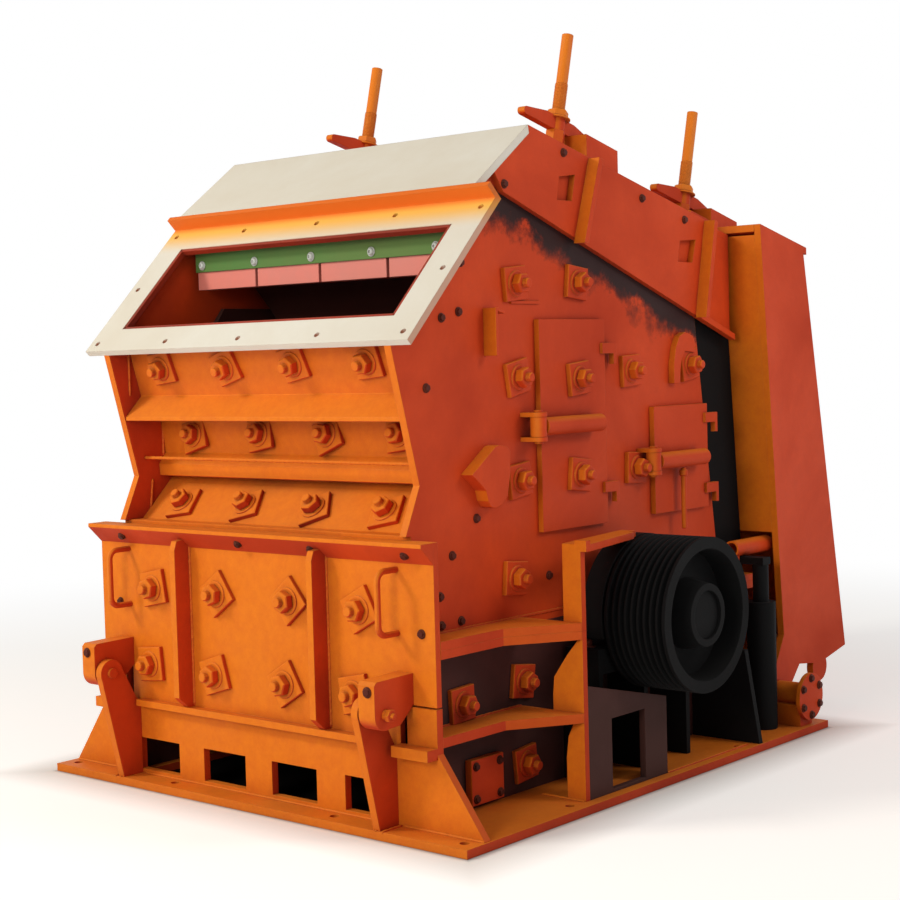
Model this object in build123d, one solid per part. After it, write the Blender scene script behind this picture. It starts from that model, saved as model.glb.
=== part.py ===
from build123d import *
import math
import os

# Impact crusher for stone: a welded steel housing round a rotor with blow bars.
# All lengths are millimetres. X runs across, Y runs back from the feed side, Z runs up.
# Y is counted from the front edge of the base frame, and the finished pieces are moved
# so that the origin lies under the middle of the base frame.

# Base frame
BASE_SIDE = 321.0
BASE_DEPTH = 2382.0
BASE_THICK = 30.0
BASE_LEDGE = 40.0
ANCHOR_EDGE = 60.0
ANCHOR_R = 17.0
ANCHOR_MID_X = 420.0
ANCHOR_MID_Y = 560.0

# Housing walls
BODY_WIDTH = 1496.0
WALL = 30.0
LINER = 20.0
LINER_GAP = 0.3
FRONT_Y = 130.0
REAR_Y = 2185.0
PARTING_Z = 635.0
FLANGE_THICK = 30.0
FLANGE_OUT = 90.0

# Lower front wall with its clean-out windows
SILL_FRONT_Y = 100.0
SILL_THICK = 30.0
SILL_TOP_Z = 292.0
WING_EDGE = 7.0
WINDOW_WIDTH = 228.0
WINDOW_PITCH = 367.0
WINDOW_LOW_Z = 45.0
WINDOW_HIGH_Z = 168.0

# Side rails and bearing pedestals
RAIL_THICK = 34.0
RAIL_Z = 310.0
RAIL_REACH = 120.0
RAIL_KINK_Y = 460.0
PEDESTAL_FRONT_Y = 705.0
PEDESTAL_REAR_Y = 1830.0
PEDESTAL_REACH = 277.0
PEDESTAL_PLATE = 25.0
CHEEK_REAR_Y = 1223.0
CHEEK_FRONT_Z = 437.0
CHEEK_REAR_Z = 322.0
CHEEK_HOLE_Y = (870.0, 1080.0)
CHEEK_HOLE_Z = (42.0, 298.0)
SEAT_THICK = 34.0
STRUT_LEAN = 62.0
STRUT_TOP_Z = 402.0
# Inner edge of the pedestal's front plate: distance from the outer edge, and height
PEDESTAL_EDGE = ((20.0, 602.0), (65.0, 550.0), (98.0, 505.0), (128.0, 462.0), (134.0, 400.0),
                 (134.0, 344.0), (43.0, 310.0), (70.0, 256.0), (80.0, 180.0))
GUARD_TOP_Z = 915.0
GUARD_INSET = 80.0
GUARD_LIP = 25.0
GUARD_LIP_HEIGHT = 39.0
GUARD_SHORT = 107.0
GUARD_LAP = 60.0
HOOD_R = 290.0
HOOD_THICK = 10.0
HOOD_DEPTH = 86.0
HOOD_SIDE_GAP = 10.0
HOOD_END = 15.0

# Rotor
AXIS_Y = 1250.0
TIP_R = 560.0
DISC_R = 500.0
ROTOR_GAP = 16.0
BAR_THICK = 104.0
BAR_DEPTH = 232.0
BAR_FIT = 0.3
# Throat ahead of each blow bar: rise above the bar's root, and reach ahead of the bar
THROAT = ((110.0, -1.0), (96.0, 60.0))
THROAT_REACH = 330.0
SHAFT_R = 90.0
SHAFT_WALL_GAP = 14.0
RUNNING_FIT = 0.05
HUB_FIT = 0.3
BEARING_SIDE_GAP = 20.0
BEARING_WIDTH = 148.0
BEARING_R = 172.0
BEARING_FOOT = 300.0
SHEAVE_SIDE_GAP = 20.0
SHEAVE_WIDTH = 262.0
SHEAVE_R = 288.0
GROOVE_COUNT = 9
GROOVE_DEPTH = 20.0
RIM_THICK = 52.0
WEB_THICK = 70.0
SHEAVE_HUB_R = 116.0

# Upper side wall, seen from the side
NOSE_Y = 106.0
DOOR_TOP_Z = 1010.0
WAIST_Y = 182.0
WAIST_Z = 1176.0
STEP_TOP_Z = 1668.0
ROOF_PEAK_Y = 790.0
ROOF_PEAK_Z = 2430.0
ROOF_ANGLE = 13.8
ROOF_THICK = 25.0
ROOF_END_GAP = 9.0
WALL_REAR = ((1900.0, 1760.0), (2061.0, 635.0))
WALL_REAR_LAP = 25.0
LINER_FRONT_Y = 420.0
LINER_REAR_Y = 1860.0
LINER_TOP_Z = 1830.0
LINER_SLOPE = (640.0, 1560.0)
LINER_FOOT = 30.0
CLOSING_FRONT = ((1925.0, 1450.0), (1865.0, 2050.0))
CLOSING_THICK = 25.0

# Feed flange, on a plane that leans back 45.6 degrees
FEED_LOW_Y = 39.0
FEED_LOW_Z = 1666.0
FEED_ANGLE = 45.6
FEED_LENGTH = 698.0
FEED_REACH = 91.0
FEED_THICK = 25.0
FEED_SIDE = 129.0
FEED_HOLE_LOW = 116.0
FEED_HOLE_HIGH = 560.0
FEED_BOLT_R = 11.0
FEED_BOLT_EDGE = 42.0
FEED_BOLT_MID_X = 398.0
FEED_BOLT_ROWS = (40.0, 337.0, 637.0)
LIP_HEIGHT = 56.0
LIP_THICK = 20.0

# Stepped front wall between the side walls
STEP_PLATE = 25.0
STEP_UPPER_Y = 150.0
STEP_MIDDLE_Y = 310.0
STEP_LEDGE_Y = 215.0
STEP_LOWER_Y = 250.0
STEP_LEAN = 20.0
STEP_SHELF_Z = (1490.0, 1412.0)
STEP_LEDGE_Z = (1246.0, 1166.0)

# Inspection doors in the side walls: front edge, rear edge, foot and head
SIDE_DOORS = {"front": (829.0, 1235.0, 960.0, 1735.0), "rear": (1560.0, 1950.0, 965.0, 1390.0)}
SIDE_DOOR_THICK = 22.0
SIDE_DOOR_LAP = 34.0
SIDE_DOOR_SEAT = 0.5
ARM_R = 33.0
ARM_OFF = 3.0
ARM_PIN_R = 16.0
ARM_PIN_AHEAD = 62.0
ARM_REACH = 0.78
EYE_R = 30.0
EYE_HALF = 36.0
CLEVIS_PLATE = 16.0
CLEVIS_R = 32.0
CLEVIS_GAP = 0.5
HOOK_WIDTH = 60.0
HOOK_OUT = 12.0
HOOK_LAP = 30.0
HOOK_RISE = 26.0
HOOK_DROP = 54.0
HOOK_STEM = 18.0
HOOK_PLACES = (0.17, 0.85)

# Front door
DOOR_EDGE = 1.0
DOOR_PLATE = 25.0
DOOR_SEAT = 0.5
DOOR_NOTCH_Z = 447.0
DOOR_FOOT_Z = 298.0
DOOR_FOOT_STEP = 167.0
DOOR_RIB_X = 359.0
DOOR_RIB_DEPTH = 74.0
DOOR_RIB_THICK = 28.0
DOOR_CAP_DEPTH = 62.0
DOOR_PIN_Y = -35.0
DOOR_PIN_Z = 438.0
DOOR_PIN_R = 19.0
EAR_THICK = 73.0
EAR_R = 52.0
EAR_TOP_Z = 556.0
FIN_THICK = 30.0
FIN_GAP = 6.0
FIN_INSET = 30.0
CORNER_GAP = 35.0
LEDGE_GAP = 6.0
LEDGE_DEPTH = 52.0
LEDGE_Z = (276.0, 314.0)
HANDLE_R = 11.0
HANDLE_LOW_Z = 685.0
HANDLE_HIGH_Z = 900.0
HANDLE_OUT = 95.0

# Rear housing that swings back on pivots at the rear corners of the base
REAR_REACH = 152.0
REAR_PLATE = 30.0
REAR_FACE_Y = 2182.0
REAR_LEAN = 0.08
REAR_GAP = 6.0
REAR_TOP_Z = 2126.0
REAR_TOP_BACK = (2567.0, 2039.0)
REAR_OVERHANG = 32.0
REAR_LOW_BACK = (2864.0, 270.0)
REAR_FLOOR_Y = 2338.0
REAR_FLANGE_Z = 830.0
REAR_FLANGE_IN = 46.0
REAR_FRONT_Z = 259.0
REAR_FOOT_Z = 244.0
REAR_FOOT_DROP = 14.0
REAR_LOBE = (2628.0, 206.0)
REAR_LOBE_R = 62.0
PIVOT_Y = 2262.0
PIVOT_Z = 150.0
PIVOT_PIN_R = 34.0
PIVOT_BODY_R = 53.0
PIVOT_FLANGE_R = 98.0
PIVOT_REACH = 158.0
PIVOT_EAR_R = 72.0
# The rear housing's low edge round the lobe, and its lug down to the pivot
LOBE_SIDES = (60.0, 40.0)
LUG_AHEAD = (62.0, 34.0)
LUG_BEHIND = (50.0, 48.0)
LUG_FRONT = (4.0, 180.0)
LUG_REAR = (130.0, 20.0)

# Roof beams, rods and their seats
BEAM_THICK = 25.0
BEAM_STRIP_OUT = 50.0
BEAM_BAR = (30.0, 25.0)
BEAM_BAR_YS = (1900.0, 2170.0)
ROD_INSETS = {"front": 237.0, "rear": 223.0}
ROD_YS = {"front": 1265.0, "rear": 2140.0}
ROD_R = 23.0
ROD_TOPS = {"front": 560.0, "rear": 550.0}
SEAT_WIDE = 210.0
SEAT_LENGTH = 209.0
SEAT_AHEAD = 97.0
SEAT_FOOT = 62.0
SEAT_RISES = {"front": 170.0, "rear": 140.0}
SEAT_LOW = {"front": 40.0, "rear": 84.0}
OVERHANG_Z = 2134.0
ROOF_FRONT_FOOT = 28.0
LEVER_LENGTH = 452.0
LEVER_HEIGHT = 54.0
LEVER_END = 30.0
LEVER_FLAT = 90.0
LEVER_THICK = 34.0
LEVER_BOSS_R = 33.0

# Hanging curtain behind the feed flange and the impact aprons
CURTAIN_Y = 500.0
CURTAIN_SEAM_Z = 1975.0
CURTAIN_FOOT_Z = 1902.0
CURTAIN_GAP = 14.0
CURTAIN_SIDE_GAP = 26.0
CURTAIN_BAR = 20.0
CURTAIN_BLOCK = 66.0
CURTAIN_LAP = 6.0
APRON_GAP = 22.0
APRON_PLATE = 70.0
APRON_SHAFT_R = 45.0

# Beam outline, apron pivots and faces, as places in Y and Z
BEAM_NOSE = (590.0, 2252.0)
BEAM_FOOT = ((641.0, 2182.0), (1853.0, 1759.0))
BEAM_WINDOWS = (((969.0, 2256.0), (1067.0, 2269.0), (1045.0, 2171.0), (953.0, 2170.0)),
                ((1768.0, 2050.0), (1886.0, 2058.0), (1857.0, 1965.0), (1750.0, 1965.0)))
BEAM_STRIPS = (((1156.0, 2335.0), (1051.0, 2015.0), (1077.0, 2015.0), (1182.0, 2328.0)),
               ((1954.0, 2138.0), (1875.0, 1742.0), (1900.0, 1742.0), (1979.0, 2131.0)))
BEAM_END = ((1979.0, 2137.0), (1900.0, 1743.0))
APRON_PIVOTS = {"front": (700.0, 2150.0), "rear": (1530.0, 2060.0)}
FRONT_APRON_FACE = [(640.0, 2080.0), (900.0, 1800.0), (1120.0, 1480.0), (1210.0, 1262.0)]
REAR_APRON_FACE = [(1470.0, 1990.0), (1640.0, 1700.0), (1760.0, 1360.0), (1790.0, 1060.0)]

# Small fits and plates of the rods and aprons
ROD_SIDE_GAP = 1.0
LEVER_SEAT = 0.3
NUT_R = 40.0
APRON_RIB = 40.0
APRON_EYE_R = 58.0
APRON_BOSS_R = 78.0
FORK_GAP = 6.0
FORK_PLATE = 22.0
FORK_R = 38.0
FORK_PIN_R = 20.0
FORK_PLAY = 4.0
RIM_LIP = 9.0
DOOR_HEAD_Z = 994.0
REAR_HEAD_DROP = 90.0
TUBE_REACH = 72.0
TUBE_YS = (2040.0, 2320.0)
TUBE_Z = 779.0
TUBE_R = 34.0
TUBE_WALL = 8.0
TUBE_BORE = 120.0
LIFT_REACH = 167.0
LIFT_Y = 2110.0
LIFT_R = 60.0
LIFT_NECK_Z = 560.0
LIFT_EYE = 30.0
PIVOT_FOOT_YS = (2200.0, 2295.0)

HALF = BODY_WIDTH / 2
INSIDE = HALF - WALL
AXIS_Z = PARTING_Z
ROOF_SLOPE = math.tan(math.radians(ROOF_ANGLE))
ROTOR_HALF = INSIDE - LINER - LINER_GAP - ROTOR_GAP
BASE_WIDTH = BODY_WIDTH + 2 * BASE_SIDE
RAIL_OUT_X = HALF + RAIL_REACH
WING_FOOT_X = BASE_WIDTH / 2 - WING_EDGE
FEED_WIDTH = BODY_WIDTH + 2 * FEED_REACH
DOOR_HALF = RAIL_OUT_X - DOOR_EDGE
DOOR_FOOT_HALF = DOOR_HALF - DOOR_FOOT_STEP
PEDESTAL_OUT_X = HALF + PEDESTAL_REACH
BEARING_NEAR_X = HALF + BEARING_SIDE_GAP
SHEAVE_X = BEARING_NEAR_X + BEARING_WIDTH + SHEAVE_SIDE_GAP
ROOF_END_Y = REAR_Y - ROOF_END_GAP
FEED_HOLE_WIDTH = FEED_WIDTH - 2 * FEED_SIDE
FEED_BOLT_X = FEED_WIDTH / 2 - FEED_BOLT_EDGE
CURTAIN_HALF = INSIDE - CURTAIN_SIDE_GAP
ROD_XS = {which: HALF - inset for which, inset in ROD_INSETS.items()}
FIN_X = DOOR_FOOT_HALF - FIN_INSET
REAR_HALF = HALF + REAR_REACH
PIVOT_OUT_X = REAR_HALF + PIVOT_REACH
TUBE_X = HALF + TUBE_REACH
LIFT_X = HALF + LIFT_REACH


def block(x0, x1, y0, y1, z0, z1):
    size = Box(x1 - x0, y1 - y0, z1 - z0, align=(Align.MIN, Align.MIN, Align.MIN))
    return Pos(x0, y0, z0) * size


def across(x0, x1, outline):
    """A plate that faces sideways, from its outline in Y and Z."""
    face = Plane.YZ.offset(x0) * make_face(Polyline(*outline, close=True))
    return extrude(face, amount=x1 - x0)


def upright(y0, y1, outline):
    """A plate that faces the feed side, from its outline in X and Z."""
    face = Plane.XZ.offset(-y1) * make_face(Polyline(*outline, close=True))
    return extrude(face, amount=y1 - y0)


def level(z0, z1, outline):
    """A plate that lies flat, from its outline in X and Y."""
    face = Plane.XY.offset(z0) * make_face(Polyline(*outline, close=True))
    return extrude(face, amount=z1 - z0)


def rod_x(x0, x1, y, z, r):
    return Pos((x0 + x1) / 2, y, z) * Rot(0, 90, 0) * Cylinder(r, x1 - x0)


def rod_y(x, y0, y1, z, r):
    return Pos(x, (y0 + y1) / 2, z) * Rot(90, 0, 0) * Cylinder(r, y1 - y0)


def rod_z(x, y, z0, z1, r):
    return Pos(x, y, (z0 + z1) / 2) * Cylinder(r, z1 - z0)


def other_side(shape):
    return mirror(shape, about=Plane.YZ)


def both_sides(shape):
    return Compound([shape, other_side(shape)])


def roof_z(y):
    return ROOF_PEAK_Z - ROOF_SLOPE * (y - ROOF_PEAK_Y)


def feed_point(along, behind):
    """A point in Y and Z, up along the feed flange and behind its face."""
    a = math.radians(FEED_ANGLE)
    y = FEED_LOW_Y + along * math.cos(a) + behind * math.sin(a)
    z = FEED_LOW_Z + along * math.sin(a) - behind * math.cos(a)
    return (y, z)


def base_frame():
    half = BASE_WIDTH / 2
    plate = block(-half, half, 0, BASE_DEPTH, 0, BASE_THICK)
    hole_half = INSIDE - BASE_LEDGE
    hole = block(-hole_half, hole_half, SILL_FRONT_Y + SILL_THICK + BASE_LEDGE,
                 REAR_Y - WALL - BASE_LEDGE, -1, BASE_THICK + 1)
    plate -= hole
    for x, y in anchor_places():
        plate -= rod_z(x, y, -1, BASE_THICK + 1, ANCHOR_R)
    return plate


def anchor_places():
    edge_x = BASE_WIDTH / 2 - ANCHOR_EDGE
    mid_y = BASE_DEPTH / 2
    edge_y = mid_y - ANCHOR_EDGE
    places = []
    for sx in (-1, 1):
        for sy in (-1, 1):
            places.append((sx * edge_x, mid_y + sy * edge_y))
            places.append((sx * edge_x, mid_y + sy * ANCHOR_MID_Y))
            places.append((sx * ANCHOR_MID_X, mid_y + sy * edge_y))
    return places


def lower_front_wall():
    outline = [(-WING_FOOT_X, BASE_THICK), (WING_FOOT_X, BASE_THICK),
               (RAIL_OUT_X, SILL_TOP_Z), (-RAIL_OUT_X, SILL_TOP_Z)]
    wall = upright(SILL_FRONT_Y, SILL_FRONT_Y + SILL_THICK, outline)
    for i in range(4):
        x = (i - 1.5) * WINDOW_PITCH
        wall -= block(x - WINDOW_WIDTH / 2, x + WINDOW_WIDTH / 2, SILL_FRONT_Y - 1,
                      SILL_FRONT_Y + SILL_THICK + 1, WINDOW_LOW_Z, WINDOW_HIGH_Z)
    return wall


def shaft_hole(x0, x1):
    return rod_x(x0 - 1, x1 + 1, AXIS_Y, AXIS_Z, SHAFT_R + SHAFT_WALL_GAP)


def lower_side_wall():
    wall = block(INSIDE, HALF, FRONT_Y, REAR_Y, BASE_THICK, PARTING_Z)
    return wall - shaft_hole(INSIDE, HALF)


def rail_outline():
    return [(HALF, FRONT_Y), (RAIL_OUT_X, FRONT_Y), (RAIL_OUT_X, RAIL_KINK_Y),
            (PEDESTAL_OUT_X, PEDESTAL_FRONT_Y), (HALF, PEDESTAL_FRONT_Y)]


def lower_rails():
    low = level(RAIL_Z, RAIL_Z + RAIL_THICK, rail_outline())
    top = level(PARTING_Z - FLANGE_THICK, PARTING_Z, rail_outline())
    return Compound([low, top])


def upper_flange():
    front = level(PARTING_Z, PARTING_Z + FLANGE_THICK, rail_outline())
    back = block(HALF, HALF + FLANGE_OUT, PEDESTAL_REAR_Y, REAR_Y,
                 PARTING_Z, PARTING_Z + FLANGE_THICK)
    under = block(HALF, HALF + FLANGE_OUT, PEDESTAL_REAR_Y, REAR_Y,
                  PARTING_Z - FLANGE_THICK, PARTING_Z)
    return Compound([front, back, under])


def pedestal():
    """Front plate of the pedestal, with a curved inner edge."""
    x1 = PEDESTAL_OUT_X
    edge = [(x1 - inset, z) for inset, z in PEDESTAL_EDGE]
    outline = [(x1, BASE_THICK), (x1, PARTING_Z), (edge[0][0], PARTING_Z)] + edge
    outline.append((edge[-1][0], BASE_THICK))
    return upright(PEDESTAL_FRONT_Y, PEDESTAL_FRONT_Y + PEDESTAL_PLATE, outline)


def pedestal_cheek():
    x1 = PEDESTAL_OUT_X
    x0 = x1 - PEDESTAL_PLATE
    y0 = PEDESTAL_FRONT_Y + PEDESTAL_PLATE
    cheek = across(x0, x1, [(y0, BASE_THICK), (CHEEK_REAR_Y, BASE_THICK),
                            (CHEEK_REAR_Y, CHEEK_REAR_Z), (y0, CHEEK_FRONT_Z)])
    return cheek - block(x0 - 1, x1 + 1, *CHEEK_HOLE_Y, *CHEEK_HOLE_Z)


def bearing_bracket():
    seat_top = AXIS_Z - BEARING_R
    x1 = BEARING_NEAR_X + BEARING_WIDTH
    y0 = AXIS_Y - BEARING_FOOT
    y1 = AXIS_Y + BEARING_FOOT
    seat = block(HALF, x1, y0, y1, seat_top - SEAT_THICK, seat_top)
    ribs = []
    for y in (y0, AXIS_Y - PEDESTAL_PLATE / 2, y1 - PEDESTAL_PLATE):
        ribs.append(block(HALF, x1, y, y + PEDESTAL_PLATE, BASE_THICK, seat_top - SEAT_THICK))
    shape = seat
    for rib in ribs:
        shape += rib
    strut = upright(PEDESTAL_REAR_Y, PEDESTAL_REAR_Y + PEDESTAL_PLATE,
                    [(HALF, BASE_THICK), (WING_FOOT_X, BASE_THICK),
                     (WING_FOOT_X - STRUT_LEAN, STRUT_TOP_Z), (HALF, STRUT_TOP_Z)])
    return Compound([shape, strut])


def bearing():
    x0 = BEARING_NEAR_X
    x1 = x0 + BEARING_WIDTH
    foot_z = AXIS_Z - BEARING_R
    body = rod_x(x0, x1, AXIS_Y, AXIS_Z, BEARING_R)
    body += block(x0, x1, AXIS_Y - BEARING_R, AXIS_Y + BEARING_R, foot_z, AXIS_Z)
    body += block(x0, x1, AXIS_Y - BEARING_FOOT, AXIS_Y + BEARING_FOOT, foot_z, foot_z + 60)
    return body - rod_x(x0 - 1, x1 + 1, AXIS_Y, AXIS_Z, SHAFT_R + RUNNING_FIT)


def bearing_cap():
    x1 = BEARING_NEAR_X + BEARING_WIDTH
    return rod_x(x1, x1 + 45, AXIS_Y, AXIS_Z, SHAFT_R + 42)


def guard_plate():
    """Upright plate ahead of the sheave, its lip, and the narrow plate over the bearing side."""
    y0 = PEDESTAL_FRONT_Y
    y1 = y0 + PEDESTAL_PLATE
    x1 = PEDESTAL_OUT_X
    end_y = AXIS_Y - GUARD_SHORT
    hood_x = SHEAVE_X - HOOD_SIDE_GAP
    front = block(x1 - GUARD_INSET, x1, y0, y1, PARTING_Z, GUARD_TOP_Z)
    lip = block(x1 - GUARD_LIP, x1 + GUARD_LIP, y0, y1, GUARD_TOP_Z, GUARD_TOP_Z + GUARD_LIP_HEIGHT)
    roof = level(GUARD_TOP_Z, GUARD_TOP_Z + PEDESTAL_PLATE,
                 [(x1 - GUARD_INSET, y0), (x1 + GUARD_LIP, y0), (x1 + GUARD_LIP, y1),
                  (hood_x + GUARD_LIP, end_y), (hood_x, end_y), (hood_x, AXIS_Y - GUARD_LAP),
                  (hood_x - GUARD_LAP, AXIS_Y - GUARD_LAP), (hood_x - GUARD_LAP, end_y)])
    roof -= rod_x(HALF, x1, AXIS_Y, AXIS_Z, HOOD_R)
    return front + lip + roof


def sheave_guard():
    """Hood between the bearing and the sheave: a band and its back plate."""
    x1 = SHEAVE_X - HOOD_SIDE_GAP
    x0 = x1 - HOOD_DEPTH
    hood = rod_x(x0, x1, AXIS_Y, AXIS_Z, HOOD_R)
    hood -= rod_x(x0 + HOOD_THICK, x1 + 1, AXIS_Y, AXIS_Z, HOOD_R - HOOD_THICK)
    hood -= rod_x(x0 - 1, x1, AXIS_Y, AXIS_Z, BEARING_R + HOOD_THICK)
    far = 2 * HOOD_R
    drop = far * math.tan(math.radians(HOOD_END))
    return hood - across(x0 - 1, x1 + 1, [(AXIS_Y, AXIS_Z), (AXIS_Y - far, AXIS_Z - drop),
                                          (AXIS_Y - far, AXIS_Z - far), (AXIS_Y + far, AXIS_Z - far),
                                          (AXIS_Y + far, AXIS_Z - drop)])


def upper_wall_outline():
    behind = FEED_THICK
    low = feed_point(0, behind)
    peak_z = ROOF_PEAK_Z - ROOF_THICK * 1.25
    rear_z = roof_z(ROOF_END_Y) - ROOF_THICK / math.cos(math.radians(ROOF_ANGLE))
    return [(FRONT_Y, PARTING_Z), (FRONT_Y, DOOR_TOP_Z), (NOSE_Y, DOOR_TOP_Z), (WAIST_Y, WAIST_Z),
            low, feed_point(FEED_LENGTH, behind), feed_point(FEED_LENGTH, 0),
            feed_point(FEED_LENGTH, -ROOF_FRONT_FOOT), (ROOF_PEAK_Y + 8, peak_z),
            (ROOF_END_Y, rear_z), (ROOF_END_Y, beam_foot_z(ROOF_END_Y) + WALL_REAR_LAP), *WALL_REAR]


def upper_side_wall():
    wall = across(INSIDE, HALF, upper_wall_outline())
    wall -= shaft_hole(INSIDE, HALF)
    for y0, y1, z0, z1 in SIDE_DOORS.values():
        lap = SIDE_DOOR_LAP
        wall -= block(INSIDE - 1, HALF + 1, y0 + lap, y1 - lap, z0 + lap, z1 - lap)
    return wall


def side_liner():
    """Wear plates inside the side wall, open behind each inspection door."""
    x1 = INSIDE - LINER_GAP
    x0 = x1 - LINER
    low_z = BASE_THICK + LINER_FOOT
    liner = across(x0, x1, [(LINER_FRONT_Y, low_z), (LINER_REAR_Y, low_z), (LINER_REAR_Y, LINER_TOP_Z),
                            (LINER_SLOPE[0], LINER_TOP_Z), (LINER_FRONT_Y, LINER_SLOPE[1])])
    liner -= shaft_hole(x0, x1)
    for y0, y1, z0, z1 in SIDE_DOORS.values():
        lap = SIDE_DOOR_LAP
        liner -= block(x0 - 1, x1 + 1, y0 + lap, y1 - lap, z0 + lap, z1 - lap)
    return liner


def closing_plate():
    """Dark plate inside the wall that closes the slot ahead of the rear housing."""
    low, high = CLOSING_FRONT
    return across(INSIDE - CLOSING_THICK, INSIDE,
                  [(low[0], PARTING_Z), low, high, (rear_face_y(high[1]) - REAR_GAP, high[1]),
                   (rear_face_y(PARTING_Z) - REAR_GAP, PARTING_Z)])


def front_wall():
    """Folded plates between the side walls, from the feed chin down to the door head."""
    t = STEP_PLATE
    front = [(STEP_UPPER_Y, STEP_TOP_Z), (STEP_UPPER_Y, STEP_SHELF_Z[0]),
             (STEP_MIDDLE_Y, STEP_SHELF_Z[1]), (STEP_MIDDLE_Y, STEP_LEDGE_Z[0]),
             (STEP_LEDGE_Y, STEP_LEDGE_Z[0]), (STEP_LEDGE_Y, STEP_LEDGE_Z[1]),
             (STEP_LOWER_Y, STEP_LEDGE_Z[1]), (STEP_LOWER_Y - STEP_LEAN, DOOR_TOP_Z)]
    back = [(STEP_LOWER_Y - STEP_LEAN + t, DOOR_TOP_Z), (STEP_LOWER_Y + t, STEP_LEDGE_Z[1] + t),
            (STEP_LEDGE_Y + t, STEP_LEDGE_Z[1] + t), (STEP_LEDGE_Y + t, STEP_LEDGE_Z[0] - t),
            (STEP_MIDDLE_Y + t, STEP_LEDGE_Z[0] - t), (STEP_MIDDLE_Y + t, STEP_SHELF_Z[1] + t),
            (STEP_UPPER_Y + t, STEP_SHELF_Z[0] + t), (STEP_UPPER_Y + t, STEP_TOP_Z)]
    return across(-INSIDE, INSIDE, front + back)


def door_header():
    y1 = STEP_LOWER_Y - STEP_LEAN + STEP_PLATE
    return block(-INSIDE, INSIDE, FRONT_Y, y1, DOOR_TOP_Z - STEP_PLATE, DOOR_TOP_Z)


def chin_plate():
    """Closes the feed mouth below, from the flange back to the front wall."""
    return across(-INSIDE, INSIDE, [feed_point(FEED_HOLE_LOW - 32, FEED_THICK),
                                    feed_point(FEED_HOLE_LOW, FEED_THICK),
                                    (STEP_UPPER_Y + STEP_PLATE, STEP_TOP_Z),
                                    (STEP_UPPER_Y, STEP_TOP_Z)])


def feed_frame():
    """Location of the feed flange's face: X across, Y up the slope, Z out of the face."""
    origin = (0, FEED_LOW_Y, FEED_LOW_Z)
    a = math.radians(FEED_ANGLE)
    return Plane(origin=origin, x_dir=(1, 0, 0), z_dir=(0, -math.sin(a), math.cos(a)))


def feed_bolt_places():
    places = []
    for i, row in enumerate(FEED_BOLT_ROWS):
        xs = (-FEED_BOLT_X, FEED_BOLT_X)
        if i != 1:
            xs = (-FEED_BOLT_X, -FEED_BOLT_MID_X, 0.0, FEED_BOLT_MID_X, FEED_BOLT_X)
        for x in xs:
            places.append((x, row))
    return places


def feed_flange():
    half = FEED_WIDTH / 2
    plate = Pos(0, FEED_LENGTH / 2, -FEED_THICK / 2) * Box(FEED_WIDTH, FEED_LENGTH, FEED_THICK)
    lip_y = FEED_LENGTH - LIP_THICK / 2
    plate += Pos(0, lip_y, LIP_HEIGHT / 2) * Box(2 * half, LIP_THICK, LIP_HEIGHT)
    hole_mid = (FEED_HOLE_LOW + FEED_HOLE_HIGH) / 2
    hole_long = FEED_HOLE_HIGH - FEED_HOLE_LOW
    plate -= Pos(0, hole_mid, -FEED_THICK / 2) * Box(FEED_HOLE_WIDTH, hole_long, 3 * FEED_THICK)
    for x, y in feed_bolt_places():
        plate -= Pos(x, y, -FEED_THICK / 2) * Cylinder(FEED_BOLT_R, 3 * FEED_THICK)
    return feed_frame() * plate


def roof_front():
    half = HALF + BEAM_THICK
    top = feed_point(FEED_LENGTH, -LIP_HEIGHT)
    foot = feed_point(FEED_LENGTH, -ROOF_FRONT_FOOT)
    peak = (ROOF_PEAK_Y, ROOF_PEAK_Z)
    inner = (ROOF_PEAK_Y + 6, ROOF_PEAK_Z - ROOF_THICK * 1.22)
    return across(-half, half, [top, peak, inner, foot])


def roof_top():
    drop = ROOF_THICK / math.cos(math.radians(ROOF_ANGLE))
    y0 = ROOF_PEAK_Y + 7
    y1 = ROOF_END_Y
    roof = across(-HALF, HALF, [(y0, roof_z(y0)), (y1, roof_z(y1)),
                                (y1, roof_z(y1) - drop), (y0, roof_z(y0) - drop)])
    for which, x in ROD_XS.items():
        for side in (-x, x):
            roof -= roof_place(side, ROD_YS[which]) * Cylinder(ROD_R + ROD_SIDE_GAP, 4 * ROOF_THICK)
    return roof


def beam_foot_z(y):
    (y0, z0), (y1, z1) = BEAM_FOOT
    return z0 + (y - y0) * (z1 - z0) / (y1 - y0)


def roof_beam():
    """Side plate of the roof beam with its two standing strips, and the low bar behind."""
    x1 = HALF + BEAM_THICK
    beam = across(HALF, x1, [BEAM_NOSE, (ROOF_PEAK_Y, ROOF_PEAK_Z), *BEAM_END, BEAM_FOOT[0]])
    for window in BEAM_WINDOWS:
        beam -= across(HALF - 1, x1 + 1, window)
    beam -= roof_front()
    for strip in BEAM_STRIPS:
        beam += across(x1, x1 + BEAM_STRIP_OUT, strip)
    y0, y1 = BEAM_BAR_YS
    z0 = beam_foot_z(y0)
    z1 = beam_foot_z(y1)
    out, high = BEAM_BAR
    return beam + across(HALF, HALF + out, [(y0, z0), (y1, z1), (y1, z1 + high), (y0, z0 + high)])


def roof_place(x, y):
    """A place on top of the roof: local Y runs down the slope, local Z stands square to it."""
    a = math.radians(ROOF_ANGLE)
    return Plane(origin=(x, y, roof_z(y)), x_dir=(1, 0, 0), z_dir=(0, math.sin(a), math.cos(a)))


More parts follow.
